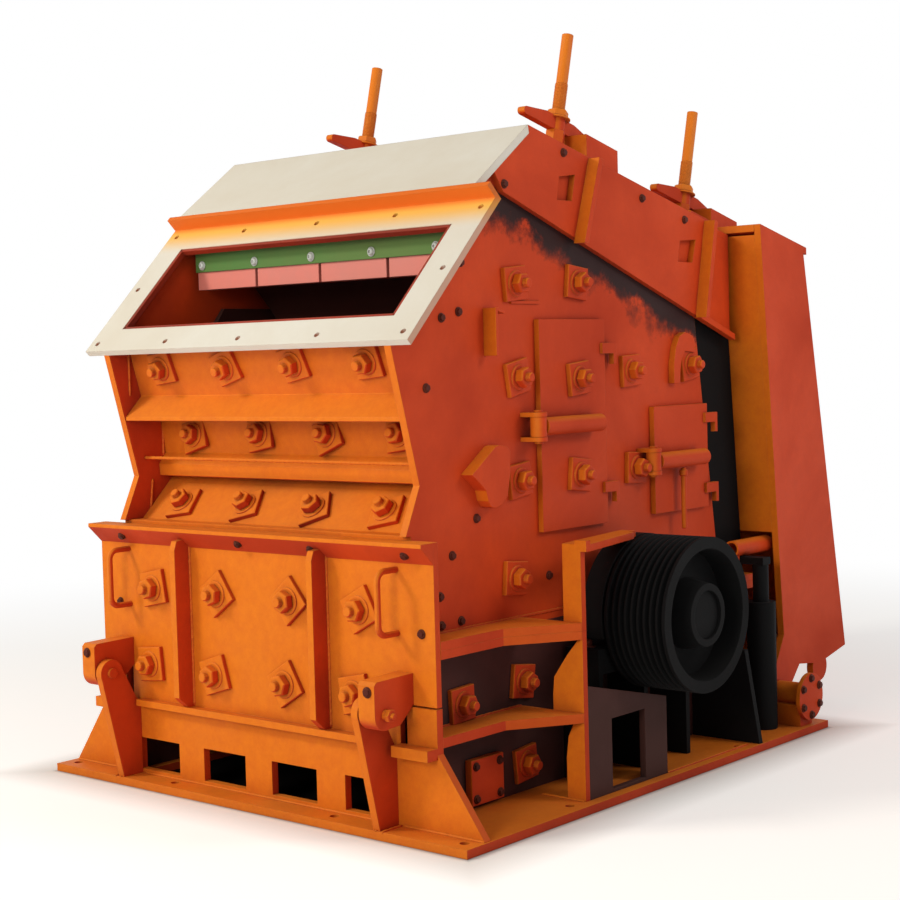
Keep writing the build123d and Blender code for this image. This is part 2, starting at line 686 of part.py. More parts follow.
def rod_seat(which):
    """Low block round the rod and the box behind it that carries the lever's rear end."""
    y = ROD_YS[which]
    front = y - SEAT_FOOT
    x = ROD_XS[which]
    y0 = y + SEAT_AHEAD
    y1 = y0 + SEAT_LENGTH
    low = SEAT_LOW[which]
    rise = SEAT_RISES[which]
    outline = [(front, roof_z(front)), (front, roof_z(front) + low), (y0, roof_z(y0) + low),
               (y0, roof_z(y0) + rise), (y1, roof_z(y1) + rise)]
    if y1 > ROOF_END_Y:
        outline += [(y1, OVERHANG_Z), (ROOF_END_Y, OVERHANG_Z), (ROOF_END_Y, roof_z(ROOF_END_Y))]
    else:
        outline += [(y1, roof_z(y1))]
    seat = across(x - SEAT_WIDE / 2, x + SEAT_WIDE / 2, outline)
    return seat - roof_place(x, y) * Cylinder(ROD_R + ROD_SIDE_GAP, 4 * rise)


def rod_seats():
    return both_sides(Compound([rod_seat(which) for which in ROD_YS]))


def rod_lever(which):
    """Lever bar with tapered round ends, a boss round the rod and the nut under it."""
    square = math.cos(math.radians(ROOF_ANGLE))
    low = SEAT_RISES[which] * square + LEVER_SEAT
    high = low + LEVER_HEIGHT
    nut_low = SEAT_LOW[which] * square + LEVER_SEAT
    ends = LEVER_LENGTH / 2 - LEVER_END / 2
    top = low + LEVER_END
    lever = across(-LEVER_THICK / 2, LEVER_THICK / 2,
                   [(-ends, low), (ends, low), (ends, top), (LEVER_FLAT, high), (-LEVER_FLAT, high),
                    (-ends, top)])
    for end in (-ends, ends):
        lever += Pos(0, end, low + LEVER_END / 2) * Rot(0, 90, 0) * Cylinder(LEVER_END / 2, LEVER_THICK)
    lever += Pos(0, 0, (low + high) / 2) * Cylinder(LEVER_BOSS_R, LEVER_HEIGHT)
    lever += Pos(0, 0, nut_low) * extrude(RegularPolygon(NUT_R, 6), amount=low - nut_low)
    lever -= Cylinder(ROD_R + ROD_SIDE_GAP, 4 * high)
    return roof_place(ROD_XS[which], ROD_YS[which]) * lever


def rod_levers():
    return both_sides(Compound([rod_lever(which) for which in ROD_YS]))


def rod_reach(y):
    """Depth below the roof at which the rod is level with the apron's pivot arm."""
    a = math.radians(ROOF_ANGLE)
    pivot_y, pivot_z = APRON_PIVOTS[y]
    return (ROD_YS[y] - pivot_y) * math.sin(a) + (roof_z(ROD_YS[y]) - pivot_z) * math.cos(a)


def rod_foot(which):
    """Where the rod's fork pin lies, in Y and Z."""
    a = math.radians(ROOF_ANGLE)
    depth = rod_reach(which)
    y = ROD_YS[which]
    return (y - depth * math.sin(a), roof_z(y) - depth * math.cos(a))


def adjusting_rod(which):
    depth = rod_reach(which)
    fork_top = -depth + FORK_R + 20
    rod_top = ROD_TOPS[which]
    rod = Pos(0, 0, (rod_top + fork_top) / 2) * Cylinder(ROD_R, rod_top - fork_top)
    gap = APRON_RIB / 2 + FORK_GAP
    outer = gap + FORK_PLATE
    fork = Pos(0, 0, fork_top + 10) * Box(2 * outer, 2 * FORK_R, 20)
    for x in (gap + FORK_PLATE / 2, -gap - FORK_PLATE / 2):
        fork += Pos(x, 0, (fork_top - depth) / 2) * Box(FORK_PLATE, 2 * FORK_R, fork_top + depth)
        fork += Pos(x, 0, -depth) * Rot(0, 90, 0) * Cylinder(FORK_R, FORK_PLATE)
    pin = Pos(0, 0, -depth) * Rot(0, 90, 0) * Cylinder(FORK_PIN_R, 2 * outer)
    return roof_place(ROD_XS[which], ROD_YS[which]) * (rod + fork + pin)


def apron(which, face):
    """Impact apron: a bent face plate on ribs that reach up to the rods."""
    pivot = APRON_PIVOTS[which]
    half = INSIDE - LINER - LINER_GAP - APRON_GAP
    t = APRON_PLATE
    back = [(y + t * 0.72, z + t * 0.69) for y, z in reversed(face)]
    plate = across(-half, half, face + back)
    foot = rod_foot(which)
    ribs = []
    for x in (-ROD_XS[which], 0.0, ROD_XS[which]):
        outline = [pivot, foot, back[0], back[1], back[2]]
        rib = across(x - APRON_RIB / 2, x + APRON_RIB / 2, outline)
        rib += rod_x(x - APRON_RIB / 2, x + APRON_RIB / 2, foot[0], foot[1], APRON_EYE_R)
        rib += rod_x(x - APRON_RIB / 2, x + APRON_RIB / 2, pivot[0], pivot[1], APRON_BOSS_R)
        ribs.append(rib)
    shape = plate
    for rib in ribs:
        shape += rib
    shape -= rod_x(-half, half, pivot[0], pivot[1], APRON_SHAFT_R + RUNNING_FIT)
    shape -= rod_x(-half, half, foot[0], foot[1], FORK_PIN_R + FORK_PLAY)
    return shape


def apron_shaft(which):
    y, z = APRON_PIVOTS[which]
    half = INSIDE
    return rod_x(-half, half, y, z, APRON_SHAFT_R)


def curtain_bar():
    y0 = CURTAIN_Y
    y1 = y0 + CURTAIN_BAR
    tan = math.tan(math.radians(FEED_ANGLE))
    back_y, back_z = feed_point(0, FEED_THICK)
    return across(-CURTAIN_HALF, CURTAIN_HALF,
                  [(y0, CURTAIN_SEAM_Z), (y1, CURTAIN_SEAM_Z),
                   (y1, back_z + (y1 - back_y) * tan - 0.3), (y0, back_z + (y0 - back_y) * tan - 0.3)])


def curtain_blocks():
    pitch = 2 * CURTAIN_HALF / 4
    blocks = []
    for i in range(4):
        x0 = -CURTAIN_HALF + i * pitch + CURTAIN_GAP / 2
        y0 = CURTAIN_Y - CURTAIN_LAP
        blocks.append(block(x0, x0 + pitch - CURTAIN_GAP, y0, y0 + CURTAIN_BLOCK,
                            CURTAIN_FOOT_Z, CURTAIN_SEAM_Z - LINER_GAP))
    return Compound(blocks)


def lower_rear_wall():
    return block(-INSIDE, INSIDE, REAR_Y - WALL, REAR_Y, BASE_THICK, PARTING_Z)


def rotor_body():
    """Drum with four slots for the blow bars and a throat ahead of each."""
    body = rod_x(-ROTOR_HALF, ROTOR_HALF, 0, 0, DISC_R)
    body -= rod_x(-ROTOR_HALF - 1, ROTOR_HALF + 1, 0, 0, SHAFT_R + HUB_FIT)
    bar_root = TIP_R - BAR_DEPTH
    half = BAR_THICK / 2 + BAR_FIT
    for i in range(4):
        slot = block(-ROTOR_HALF - 1, ROTOR_HALF + 1, -half, half, bar_root - BAR_FIT, TIP_R)
        throat = across(-ROTOR_HALF - 1, ROTOR_HALF + 1,
                        [(half + reach, bar_root + rise) for rise, reach in THROAT]
                        + [(half + THROAT_REACH, TIP_R), (half - 1, TIP_R)])
        body -= Rot(90 * i, 0, 0) * (slot + throat)
    return Pos(0, AXIS_Y, AXIS_Z) * body


def blow_bars():
    root = TIP_R - BAR_DEPTH
    half = BAR_THICK / 2
    bars = []
    for i in range(4):
        bar = block(-ROTOR_HALF, ROTOR_HALF, -half, half, root, TIP_R)
        bars.append(Pos(0, AXIS_Y, AXIS_Z) * Rot(90 * i, 0, 0) * bar)
    return Compound(bars)


def rotor_shaft():
    right = SHEAVE_X + SHEAVE_WIDTH - 14
    left = -(BEARING_NEAR_X + BEARING_WIDTH - 6)
    return rod_x(left, right, AXIS_Y, AXIS_Z, SHAFT_R)


def sheave():
    """Belt sheave turned as one piece: grooved rim, dished web and hub."""
    w = SHEAVE_WIDTH
    pitch = (w - 2 * RIM_LIP) / GROOVE_COUNT
    outline = [(0, SHAFT_R + HUB_FIT), (0, SHEAVE_HUB_R), (w / 2 - WEB_THICK / 2, SHEAVE_HUB_R + 18),
               (w / 2 - WEB_THICK / 2, SHEAVE_R - RIM_THICK), (0, SHEAVE_R - RIM_THICK + 8),
               (0, SHEAVE_R), (RIM_LIP, SHEAVE_R)]
    for i in range(GROOVE_COUNT):
        start = RIM_LIP + i * pitch
        outline += [(start + pitch * 0.14, SHEAVE_R), (start + pitch * 0.36, SHEAVE_R - GROOVE_DEPTH),
                    (start + pitch * 0.64, SHEAVE_R - GROOVE_DEPTH), (start + pitch * 0.86, SHEAVE_R)]
    outline += [(w, SHEAVE_R), (w, SHEAVE_R - RIM_THICK + 8), (w / 2 + WEB_THICK / 2, SHEAVE_R - RIM_THICK),
                (w / 2 + WEB_THICK / 2, SHEAVE_HUB_R + 18), (w, SHEAVE_HUB_R), (w, SHAFT_R + HUB_FIT)]
    face = make_face(Polyline(*outline, close=True))
    turned = revolve(face, axis=Axis.X)
    return Pos(SHEAVE_X, AXIS_Y, AXIS_Z) * turned


def front_door_panel():
    y1 = FRONT_Y - DOOR_SEAT
    y0 = y1 - DOOR_PLATE
    half = DOOR_HALF
    low = DOOR_FOOT_HALF
    outline = [(-half, DOOR_NOTCH_Z), (-half, DOOR_HEAD_Z), (half, DOOR_HEAD_Z), (half, DOOR_NOTCH_Z),
               (low, DOOR_NOTCH_Z), (low, DOOR_FOOT_Z), (-low, DOOR_FOOT_Z), (-low, DOOR_NOTCH_Z)]
    panel = upright(y0, y1, outline)
    cap = across(-half - 2, half + 2,
                 [(y0, DOOR_HEAD_Z), (y0 - 22, DOOR_HEAD_Z + 2), (y0 - DOOR_CAP_DEPTH, DOOR_HEAD_Z - 26),
                  (y0 - DOOR_CAP_DEPTH, DOOR_HEAD_Z - 44), (y0, DOOR_HEAD_Z - 30)])
    foot_half = FIN_X - FIN_THICK / 2 - 15
    foot = block(-foot_half, foot_half, y0 - 40, y0, DOOR_FOOT_Z, DOOR_FOOT_Z + 25)
    return panel + cap + foot


def front_door_ribs():
    y0 = FRONT_Y - DOOR_SEAT - DOOR_PLATE
    top = DOOR_HEAD_Z - 36
    low = DOOR_FOOT_Z + 25
    outline = [(y0, low), (y0 - 30, low), (y0 - DOOR_RIB_DEPTH, low + 40),
               (y0 - DOOR_RIB_DEPTH, top - 40), (y0 - DOOR_CAP_DEPTH, top - 8), (y0, top)]
    t = DOOR_RIB_THICK / 2
    return both_sides(across(DOOR_RIB_X - t, DOOR_RIB_X + t, outline))


def front_door_ears():
    """Hinge ears on the door, outside the fixed fins."""
    y0 = FRONT_Y - DOOR_SEAT - DOOR_PLATE
    x0 = FIN_X + FIN_THICK / 2 + FIN_GAP
    x1 = x0 + EAR_THICK
    reach = EAR_R * 0.96
    nose = DOOR_PIN_Y - EAR_R
    ear = across(x0, x1, [(y0, DOOR_NOTCH_Z + 4), (y0, EAR_TOP_Z), (nose + 12, EAR_TOP_Z - 4),
                          (nose, EAR_TOP_Z - 16), (nose, DOOR_PIN_Z), (DOOR_PIN_Y, DOOR_PIN_Z - reach),
                          (DOOR_PIN_Y + 70, DOOR_PIN_Z - reach + 4)])
    ear += rod_x(x0, x1, DOOR_PIN_Y, DOOR_PIN_Z, EAR_R)
    ear -= rod_x(x0 - 1, x1 + 1, DOOR_PIN_Y, DOOR_PIN_Z, DOOR_PIN_R + RUNNING_FIT)
    return both_sides(ear)


def front_door_handles():
    y0 = FRONT_Y - DOOR_SEAT - DOOR_PLATE
    y = y0 - HANDLE_OUT
    bar = rod_z(DOOR_FOOT_HALF, y, HANDLE_LOW_Z, HANDLE_HIGH_Z, HANDLE_R)
    for z in (HANDLE_LOW_Z, HANDLE_HIGH_Z):
        bar += Pos(DOOR_FOOT_HALF, y, z) * Sphere(HANDLE_R)
        bar += rod_y(DOOR_FOOT_HALF, y, y0, z, HANDLE_R)
    return both_sides(bar)


def hinge_fin():
    """Fixed fin on the base's front edge, with the door pin in its head."""
    x0 = FIN_X - FIN_THICK / 2
    x1 = FIN_X + FIN_THICK / 2
    back = SILL_FRONT_Y
    fin = across(x0, x1, [(6, BASE_THICK), (back, BASE_THICK), (back, DOOR_FOOT_Z - 12),
                          (DOOR_PIN_Y + EAR_R * 0.9, DOOR_PIN_Z + 18),
                          (DOOR_PIN_Y - EAR_R * 0.94, DOOR_PIN_Z - 16)])
    fin += rod_x(x0, x1, DOOR_PIN_Y, DOOR_PIN_Z, EAR_R)
    end = x1 + FIN_GAP + EAR_THICK + 12
    return fin + rod_x(x0 - 10, end, DOOR_PIN_Y, DOOR_PIN_Z, DOOR_PIN_R)


def corner_plate():
    """Fixed plate beside the door's narrow foot, with its ledge."""
    edge = DOOR_FOOT_HALF
    plate = block(edge + CORNER_GAP, RAIL_OUT_X, SILL_FRONT_Y, FRONT_Y, SILL_TOP_Z, DOOR_NOTCH_Z - 5)
    ledge = block(edge + LEDGE_GAP, RAIL_OUT_X, SILL_FRONT_Y - LEDGE_DEPTH, SILL_FRONT_Y, *LEDGE_Z)
    return plate + ledge


def rear_face_y(z):
    """The leaning front face of the rear housing, at a height."""
    return REAR_FACE_Y + REAR_LEAN * (REAR_TOP_Z - z)


def rear_top_z(y):
    share = (y - REAR_FACE_Y) / (REAR_TOP_BACK[0] - REAR_FACE_Y)
    return REAR_TOP_Z + share * (REAR_TOP_BACK[1] - REAR_TOP_Z)


def rear_corner():
    """Upper rear corner of the side plates, ahead of the top plate's overhang."""
    y = REAR_TOP_BACK[0] - REAR_OVERHANG
    return (y, rear_top_z(y))


def rear_side():
    t = REAR_PLATE
    x1 = REAR_HALF
    foot_z = REAR_FOOT_Z - REAR_FOOT_DROP
    outline = [(REAR_FACE_Y, REAR_TOP_Z), rear_corner(), REAR_LOW_BACK,
               (REAR_LOBE[0] + LOBE_SIDES[1], foot_z), (REAR_LOBE[0] - LOBE_SIDES[0], foot_z),
               (rear_face_y(REAR_FRONT_Z), REAR_FRONT_Z)]
    side = across(x1 - t, x1, outline)
    side += rod_x(x1 - t, x1, REAR_LOBE[0], REAR_LOBE[1], REAR_LOBE_R)
    side += across(x1 - t, x1, [(PIVOT_Y - LUG_AHEAD[0], PIVOT_Z + LUG_AHEAD[1]),
                                (REAR_FLOOR_Y + LUG_FRONT[0], REAR_FOOT_Z + LUG_FRONT[1]),
                                (REAR_FLOOR_Y + LUG_REAR[0], REAR_FOOT_Z + LUG_REAR[1]),
                                (PIVOT_Y + LUG_BEHIND[0], PIVOT_Z - LUG_BEHIND[1])])
    side += rod_x(x1 - t, x1, PIVOT_Y, PIVOT_Z, PIVOT_EAR_R)
    return side - rod_x(x1 - t - 1, x1 + 1, PIVOT_Y, PIVOT_Z, PIVOT_PIN_R + RUNNING_FIT)


def rear_flange():
    """Leaning face strips of the rear housing, and the head strip between them."""
    t = REAR_PLATE
    head_z = rear_top_z(REAR_FACE_Y + 2 * t) - t
    x0 = HALF - REAR_FLANGE_IN
    low_z = head_z - REAR_HEAD_DROP
    strip = across(x0, REAR_HALF - t, leaning_strip(REAR_FLANGE_Z, head_z))
    return strip + other_side(strip) + across(-x0, x0, leaning_strip(low_z, head_z))


def leaning_strip(z0, z1):
    low = rear_face_y(z0)
    high = rear_face_y(z1)
    return [(low, z0), (high, z1), (high + REAR_PLATE, z1), (low + REAR_PLATE, z0)]


def rear_shell():
    """Top, back and floor plates of the rear housing; the top plate overhangs at the back."""
    t = REAR_PLATE
    half = REAR_HALF - t
    corner = rear_corner()
    outer = [(REAR_FACE_Y, REAR_TOP_Z), corner, REAR_LOW_BACK, (REAR_FLOOR_Y, REAR_FOOT_Z)]
    inner = [(REAR_FLOOR_Y, REAR_FOOT_Z + t), (REAR_LOW_BACK[0] - t - 8, REAR_LOW_BACK[1] + t),
             (corner[0] - t, corner[1] - t), (REAR_FACE_Y, REAR_TOP_Z - t)]
    shell = across(-half, half, outer + inner)
    back_y, back_z = REAR_TOP_BACK
    low_y = corner[0] + t * (REAR_LOW_BACK[0] - corner[0]) / (corner[1] - REAR_LOW_BACK[1])
    return shell + across(-REAR_HALF, REAR_HALF, [corner, REAR_TOP_BACK, (back_y, back_z - t),
                                                  (low_y, corner[1] - t)])


def rear_pivot():
    """Pivot block on the rear corner of the base, with the pin of the rear housing."""
    x0 = REAR_HALF + REAR_GAP - 1
    body = rod_x(x0, PIVOT_OUT_X - 18, PIVOT_Y, PIVOT_Z, PIVOT_BODY_R)
    body += rod_x(PIVOT_OUT_X - 18, PIVOT_OUT_X, PIVOT_Y, PIVOT_Z, PIVOT_FLANGE_R)
    body += block(x0 + 8, PIVOT_OUT_X - 18, PIVOT_FOOT_YS[0], PIVOT_FOOT_YS[1],
                  BASE_THICK, PIVOT_Z - 30)
    return body + rod_x(x0 - REAR_PLATE - 12, x0, PIVOT_Y, PIVOT_Z, PIVOT_PIN_R)


def stay_tube():
    """Tube beside the slot, on a small stand on the flange."""
    y0, y1 = TUBE_YS
    tube = rod_y(TUBE_X, y0, y1, TUBE_Z, TUBE_R)
    tube -= rod_y(TUBE_X, y0 - 1, y0 + TUBE_BORE, TUBE_Z, TUBE_R - TUBE_WALL)
    stand = block(TUBE_X - 30, TUBE_X + 15, y0 + 4, y0 + 38, PARTING_Z + FLANGE_THICK, TUBE_Z - TUBE_R + 6)
    return tube + (stand - rod_y(TUBE_X, y0, y1, TUBE_Z, TUBE_R - TUBE_WALL / 2))


def lift_cylinder():
    """Upright cylinder on the base, with the bridge that carries the tube's rear end."""
    x = LIFT_X
    y = LIFT_Y
    high = TUBE_Z - TUBE_R - 1
    low = high - LIFT_EYE
    body = rod_z(x, y, BASE_THICK, LIFT_NECK_Z, LIFT_R)
    body += rod_z(x, y, LIFT_NECK_Z, low, LIFT_R * 0.55)
    return body + block(TUBE_X - LIFT_EYE, x + LIFT_EYE, y - LIFT_EYE, y + LIFT_EYE, low, high)


def side_door(place):
    """Inspection door: leaf, two closing lugs and the swing arm with its eye."""
    y0, y1, z0, z1 = SIDE_DOORS[place]
    x0 = HALF + SIDE_DOOR_SEAT
    x1 = x0 + SIDE_DOOR_THICK
    leaf = block(x0, x1, y0, y1, z0, z1)
    tip = y1 + HOOK_WIDTH
    for share in HOOK_PLACES:
        z = z0 + (z1 - z0) * share
        leaf += block(x1 - 10, x1 + HOOK_OUT, y1 - HOOK_LAP, tip, z - 14, z + HOOK_RISE)
        leaf += block(x1 - 10, x1 + HOOK_OUT, tip - HOOK_STEM, tip, z - HOOK_DROP, z + HOOK_RISE)
    mid = (z0 + z1) / 2
    pin_y = y0 - ARM_PIN_AHEAD
    pin_x = x1 + ARM_R + ARM_OFF
    reach = y0 + (y1 - y0) * ARM_REACH
    arm = rod_y(pin_x, pin_y + ARM_PIN_R + 8, reach, mid, ARM_R)
    arm += block(x1 - 1, pin_x, y0 + 8, reach - 12, mid - 18, mid + 18)
    eye = rod_z(pin_x, pin_y, mid - EYE_HALF, mid + EYE_HALF, EYE_R)
    hole = rod_z(pin_x, pin_y, mid - 2 * EYE_HALF, mid + 2 * EYE_HALF, ARM_PIN_R + RUNNING_FIT)
    return leaf + arm + eye - hole


def clevis(place):
    """Fixed clevis plates and the upright pin of an inspection door."""
    y0, y1, z0, z1 = SIDE_DOORS[place]
    x1 = HALF + SIDE_DOOR_SEAT + SIDE_DOOR_THICK
    pin_x = x1 + ARM_R + ARM_OFF
    pin_y = y0 - ARM_PIN_AHEAD
    mid = (z0 + z1) / 2
    low = mid - EYE_HALF - CLEVIS_GAP
    high = mid + EYE_HALF + CLEVIS_GAP
    shape = rod_z(pin_x, pin_y, low - CLEVIS_PLATE - 8, high + CLEVIS_PLATE + 8, ARM_PIN_R)
    for z in (low - CLEVIS_PLATE, high):
        shape += block(HALF, pin_x, pin_y - CLEVIS_R, pin_y + CLEVIS_R, z, z + CLEVIS_PLATE)
        shape += rod_z(pin_x, pin_y, z, z + CLEVIS_PLATE, CLEVIS_R)
    return shape


def clevises():
    return both_sides(Compound([clevis(place) for place in SIDE_DOORS]))


def build_housing():
    parts = {}
    parts["base_frame"] = base_frame()
    parts["lower_front_wall"] = lower_front_wall()
    parts["lower_rear_wall"] = lower_rear_wall()
    parts["lower_side_walls"] = both_sides(lower_side_wall())
    parts["lower_rails"] = both_sides(lower_rails())
    parts["upper_flanges"] = both_sides(upper_flange())
    parts["pedestals"] = both_sides(pedestal())
    parts["pedestal_cheeks"] = both_sides(pedestal_cheek())
    parts["bearing_brackets"] = both_sides(bearing_bracket())
    parts["bearings"] = Compound([bearing(), other_side(bearing() + bearing_cap())])
    parts["guard_plates"] = both_sides(guard_plate())
    parts["sheave_guard"] = sheave_guard()
    parts["upper_side_wall_right"] = upper_side_wall()
    parts["upper_side_wall_left"] = other_side(upper_side_wall())
    parts["side_liners"] = both_sides(side_liner())
    parts["closing_plates"] = both_sides(closing_plate())
    parts["front_wall"] = front_wall() + door_header()
    parts["chin_plate"] = chin_plate()
    parts["feed_flange"] = feed_flange()
    parts["roof_front"] = roof_front()
    parts["roof_top"] = roof_top()
    parts["roof_beams"] = both_sides(roof_beam())
    parts["rod_seats"] = rod_seats()
    parts["rod_levers"] = rod_levers()
    parts["curtain_bar"] = curtain_bar()
    parts["curtain_blocks"] = curtain_blocks()
    parts["apron_shafts"] = Compound([apron_shaft("front"), apron_shaft("rear")])
    parts["hinge_fins"] = both_sides(hinge_fin())
    parts["corner_plates"] = both_sides(corner_plate())
    parts["rear_pivots"] = both_sides(rear_pivot())
    parts["stay_tubes"] = both_sides(stay_tube())
    parts["lift_cylinders"] = both_sides(lift_cylinder())
    parts["clevises"] = clevises()
    parts["front_apron"] = apron("front", FRONT_APRON_FACE)
    parts["rear_apron"] = apron("rear", REAR_APRON_FACE)
    parts["front_rods"] = both_sides(adjusting_rod("front"))
    parts["rear_rods"] = both_sides(adjusting_rod("rear"))
    return parts


def build_moving():
    parts = {}
    parts["rotor_body"] = rotor_body()
    parts["blow_bars"] = blow_bars()
    parts["rotor_shaft"] = rotor_shaft()
    parts["sheave"] = sheave()
    parts["front_door_panel"] = front_door_panel()
    parts["front_door_ribs"] = front_door_ribs()
    parts["front_door_ears"] = front_door_ears()
    parts["front_door_handles"] = front_door_handles()
    parts["rear_sides"] = both_sides(rear_side())
    parts["rear_flange"] = rear_flange()
    parts["rear_shell"] = rear_shell()
    for place in SIDE_DOORS:
        parts["side_door_" + place + "_right"] = side_door(place)
        parts["side_door_" + place + "_left"] = other_side(side_door(place))
    return parts


def save_all(parts):
    os.makedirs("parts", exist_ok=True)
    for name, shape in parts.items():
        export_step(Pos(0, -BASE_DEPTH / 2, 0) * shape, "parts/" + name + ".step")


save_all(build_housing())
save_all(build_moving())
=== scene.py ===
import math

import bmesh
import bpy
from mathutils import Matrix, Vector


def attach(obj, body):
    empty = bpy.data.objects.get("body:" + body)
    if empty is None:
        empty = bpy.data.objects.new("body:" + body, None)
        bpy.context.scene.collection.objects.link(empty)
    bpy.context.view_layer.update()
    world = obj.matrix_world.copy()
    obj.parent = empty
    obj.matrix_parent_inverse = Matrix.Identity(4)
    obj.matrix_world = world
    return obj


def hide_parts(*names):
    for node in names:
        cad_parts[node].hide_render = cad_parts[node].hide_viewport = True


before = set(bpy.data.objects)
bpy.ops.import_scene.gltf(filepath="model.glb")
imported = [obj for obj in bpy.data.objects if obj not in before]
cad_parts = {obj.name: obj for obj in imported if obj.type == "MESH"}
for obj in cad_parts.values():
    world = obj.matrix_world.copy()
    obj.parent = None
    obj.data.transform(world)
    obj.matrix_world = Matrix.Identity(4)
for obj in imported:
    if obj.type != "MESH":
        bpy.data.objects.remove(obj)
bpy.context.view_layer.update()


# Studio. A pale floor that runs out into a white surround, and the camera where the photograph
# was taken from. A key lamp stands high at the front left, a wide one low in front, and a weaker
# one to the right and behind, so the bolts throw soft shadows down to the right in front.
STUDIO_WHITE = (0.92, 0.91, 0.89, 1.0)
FLOOR_RADIUS, FLOOR_DROP = 40.0, 0.001
FADE_FROM, FADE_TO = 2.0, 7.0
# Painted shade: the floor under the machine is painted black out to these half sizes, with a soft edge.
UNDER_MACHINE_SHADE, SHADE_EDGE = (0.012, 0.01, 0.01, 1.0), 0.04
SHADE_HALF_X, SHADE_HALF_Y = 1.05, 1.17
GLOW_WIDTH, GLOW = 0.25, 0.42
SURROUND, SURROUND_STRENGTH = (1.0, 0.93, 0.88, 1), 0.24
WARM, WARMER = (1.0, 0.97, 0.86), (1.0, 0.93, 0.86)
CAMERA_PLACE = Vector((4.6007, -5.3409, 1.5936))
CAMERA_YAW, CAMERA_PITCH, CAMERA_ROLL = (math.radians(a) for a in (40.6095, -2.9571, -1.5463))
CAMERA_LENS = 69.18
MIDDLE = Vector((0.0, 0.0, 1.2))


def node(tree, kind, place=(0, 0), **settings):
    """A shader node of that kind, with its settings and its plain input values."""
    made = tree.nodes.new(kind)
    made.location = place
    for key, value in settings.items():
        if key in made.inputs:
            made.inputs[key].default_value = value
        else:
            setattr(made, key, value)
    return made


def span(tree, place, low, high, **settings):
    """A node that maps low to high onto 0 to 1, and holds what lies beyond."""
    made = node(tree, "ShaderNodeMapRange", place, **settings)
    made.inputs["From Min"].default_value, made.inputs["From Max"].default_value = low, high
    return made


def lamp(name, place, side, power, colour):
    """A square soft lamp that looks at the middle of the machine."""
    light = bpy.data.lights.new(name, "AREA")
    light.shape, light.size = "SQUARE", side
    light.energy, light.color = power, colour
    made = bpy.data.objects.new(name, light)
    bpy.context.scene.collection.objects.link(made)
    made.location = place
    made.rotation_euler = (MIDDLE - made.location).to_track_quat("-Z", "Y").to_euler()
    return made


def photo_camera():
    """The camera that took the photograph, from its yaw, pitch and roll."""
    data = bpy.data.cameras.new("photo_camera")
    data.sensor_width, data.lens = 36.0, CAMERA_LENS
    made = bpy.data.objects.new("photo_camera", data)
    bpy.context.scene.collection.objects.link(made)
    ahead = Vector((
        -math.sin(CAMERA_YAW) * math.cos(CAMERA_PITCH),
        math.cos(CAMERA_YAW) * math.cos(CAMERA_PITCH),
        math.sin(CAMERA_PITCH),
    ))
    level_right = Vector((math.cos(CAMERA_YAW), math.sin(CAMERA_YAW), 0.0))
    level_up = level_right.cross(ahead)
    right = level_right * math.cos(CAMERA_ROLL) + level_up * math.sin(CAMERA_ROLL)
    up = level_up * math.cos(CAMERA_ROLL) - level_right * math.sin(CAMERA_ROLL)
    made.matrix_world = Matrix((right, up, -ahead)).transposed().to_4x4()
    made.location = CAMERA_PLACE
    return made


def seen_in_reflections(tree, path):
    """1 for rays from the camera and for rays that reflections or glass send on."""
    first = node(tree, "ShaderNodeMath", (-300, 300), operation="MAXIMUM")
    both = node(tree, "ShaderNodeMath", (-100, 300), operation="MAXIMUM")
    tree.links.new(path.outputs["Is Camera Ray"], first.inputs[0])
    tree.links.new(path.outputs["Is Glossy Ray"], first.inputs[1])
    tree.links.new(first.outputs[0], both.inputs[0])
    tree.links.new(path.outputs["Is Transmission Ray"], both.inputs[1])
    return both.outputs[0]


def white_world():
    """White to look at, and a weak even light for what the lamps don't reach."""
    world = bpy.data.worlds.new("surround")
    world.use_nodes = True
    tree = world.node_tree
    tree.nodes.clear()
    path = node(tree, "ShaderNodeLightPath", (-500, 300))
    weak = node(tree, "ShaderNodeBackground", (0, 0), Color=SURROUND, Strength=SURROUND_STRENGTH)
    white = node(tree, "ShaderNodeBackground", (0, -150), Color=(1, 1, 1, 1), Strength=1.0)
    mix = node(tree, "ShaderNodeMixShader", (200, 0))
    out = node(tree, "ShaderNodeOutputWorld", (400, 0))
    tree.links.new(seen_in_reflections(tree, path), mix.inputs[0])
    tree.links.new(weak.outputs[0], mix.inputs[1])
    tree.links.new(white.outputs[0], mix.inputs[2])
    tree.links.new(mix.outputs[0], out.inputs[0])
    bpy.context.scene.world = world


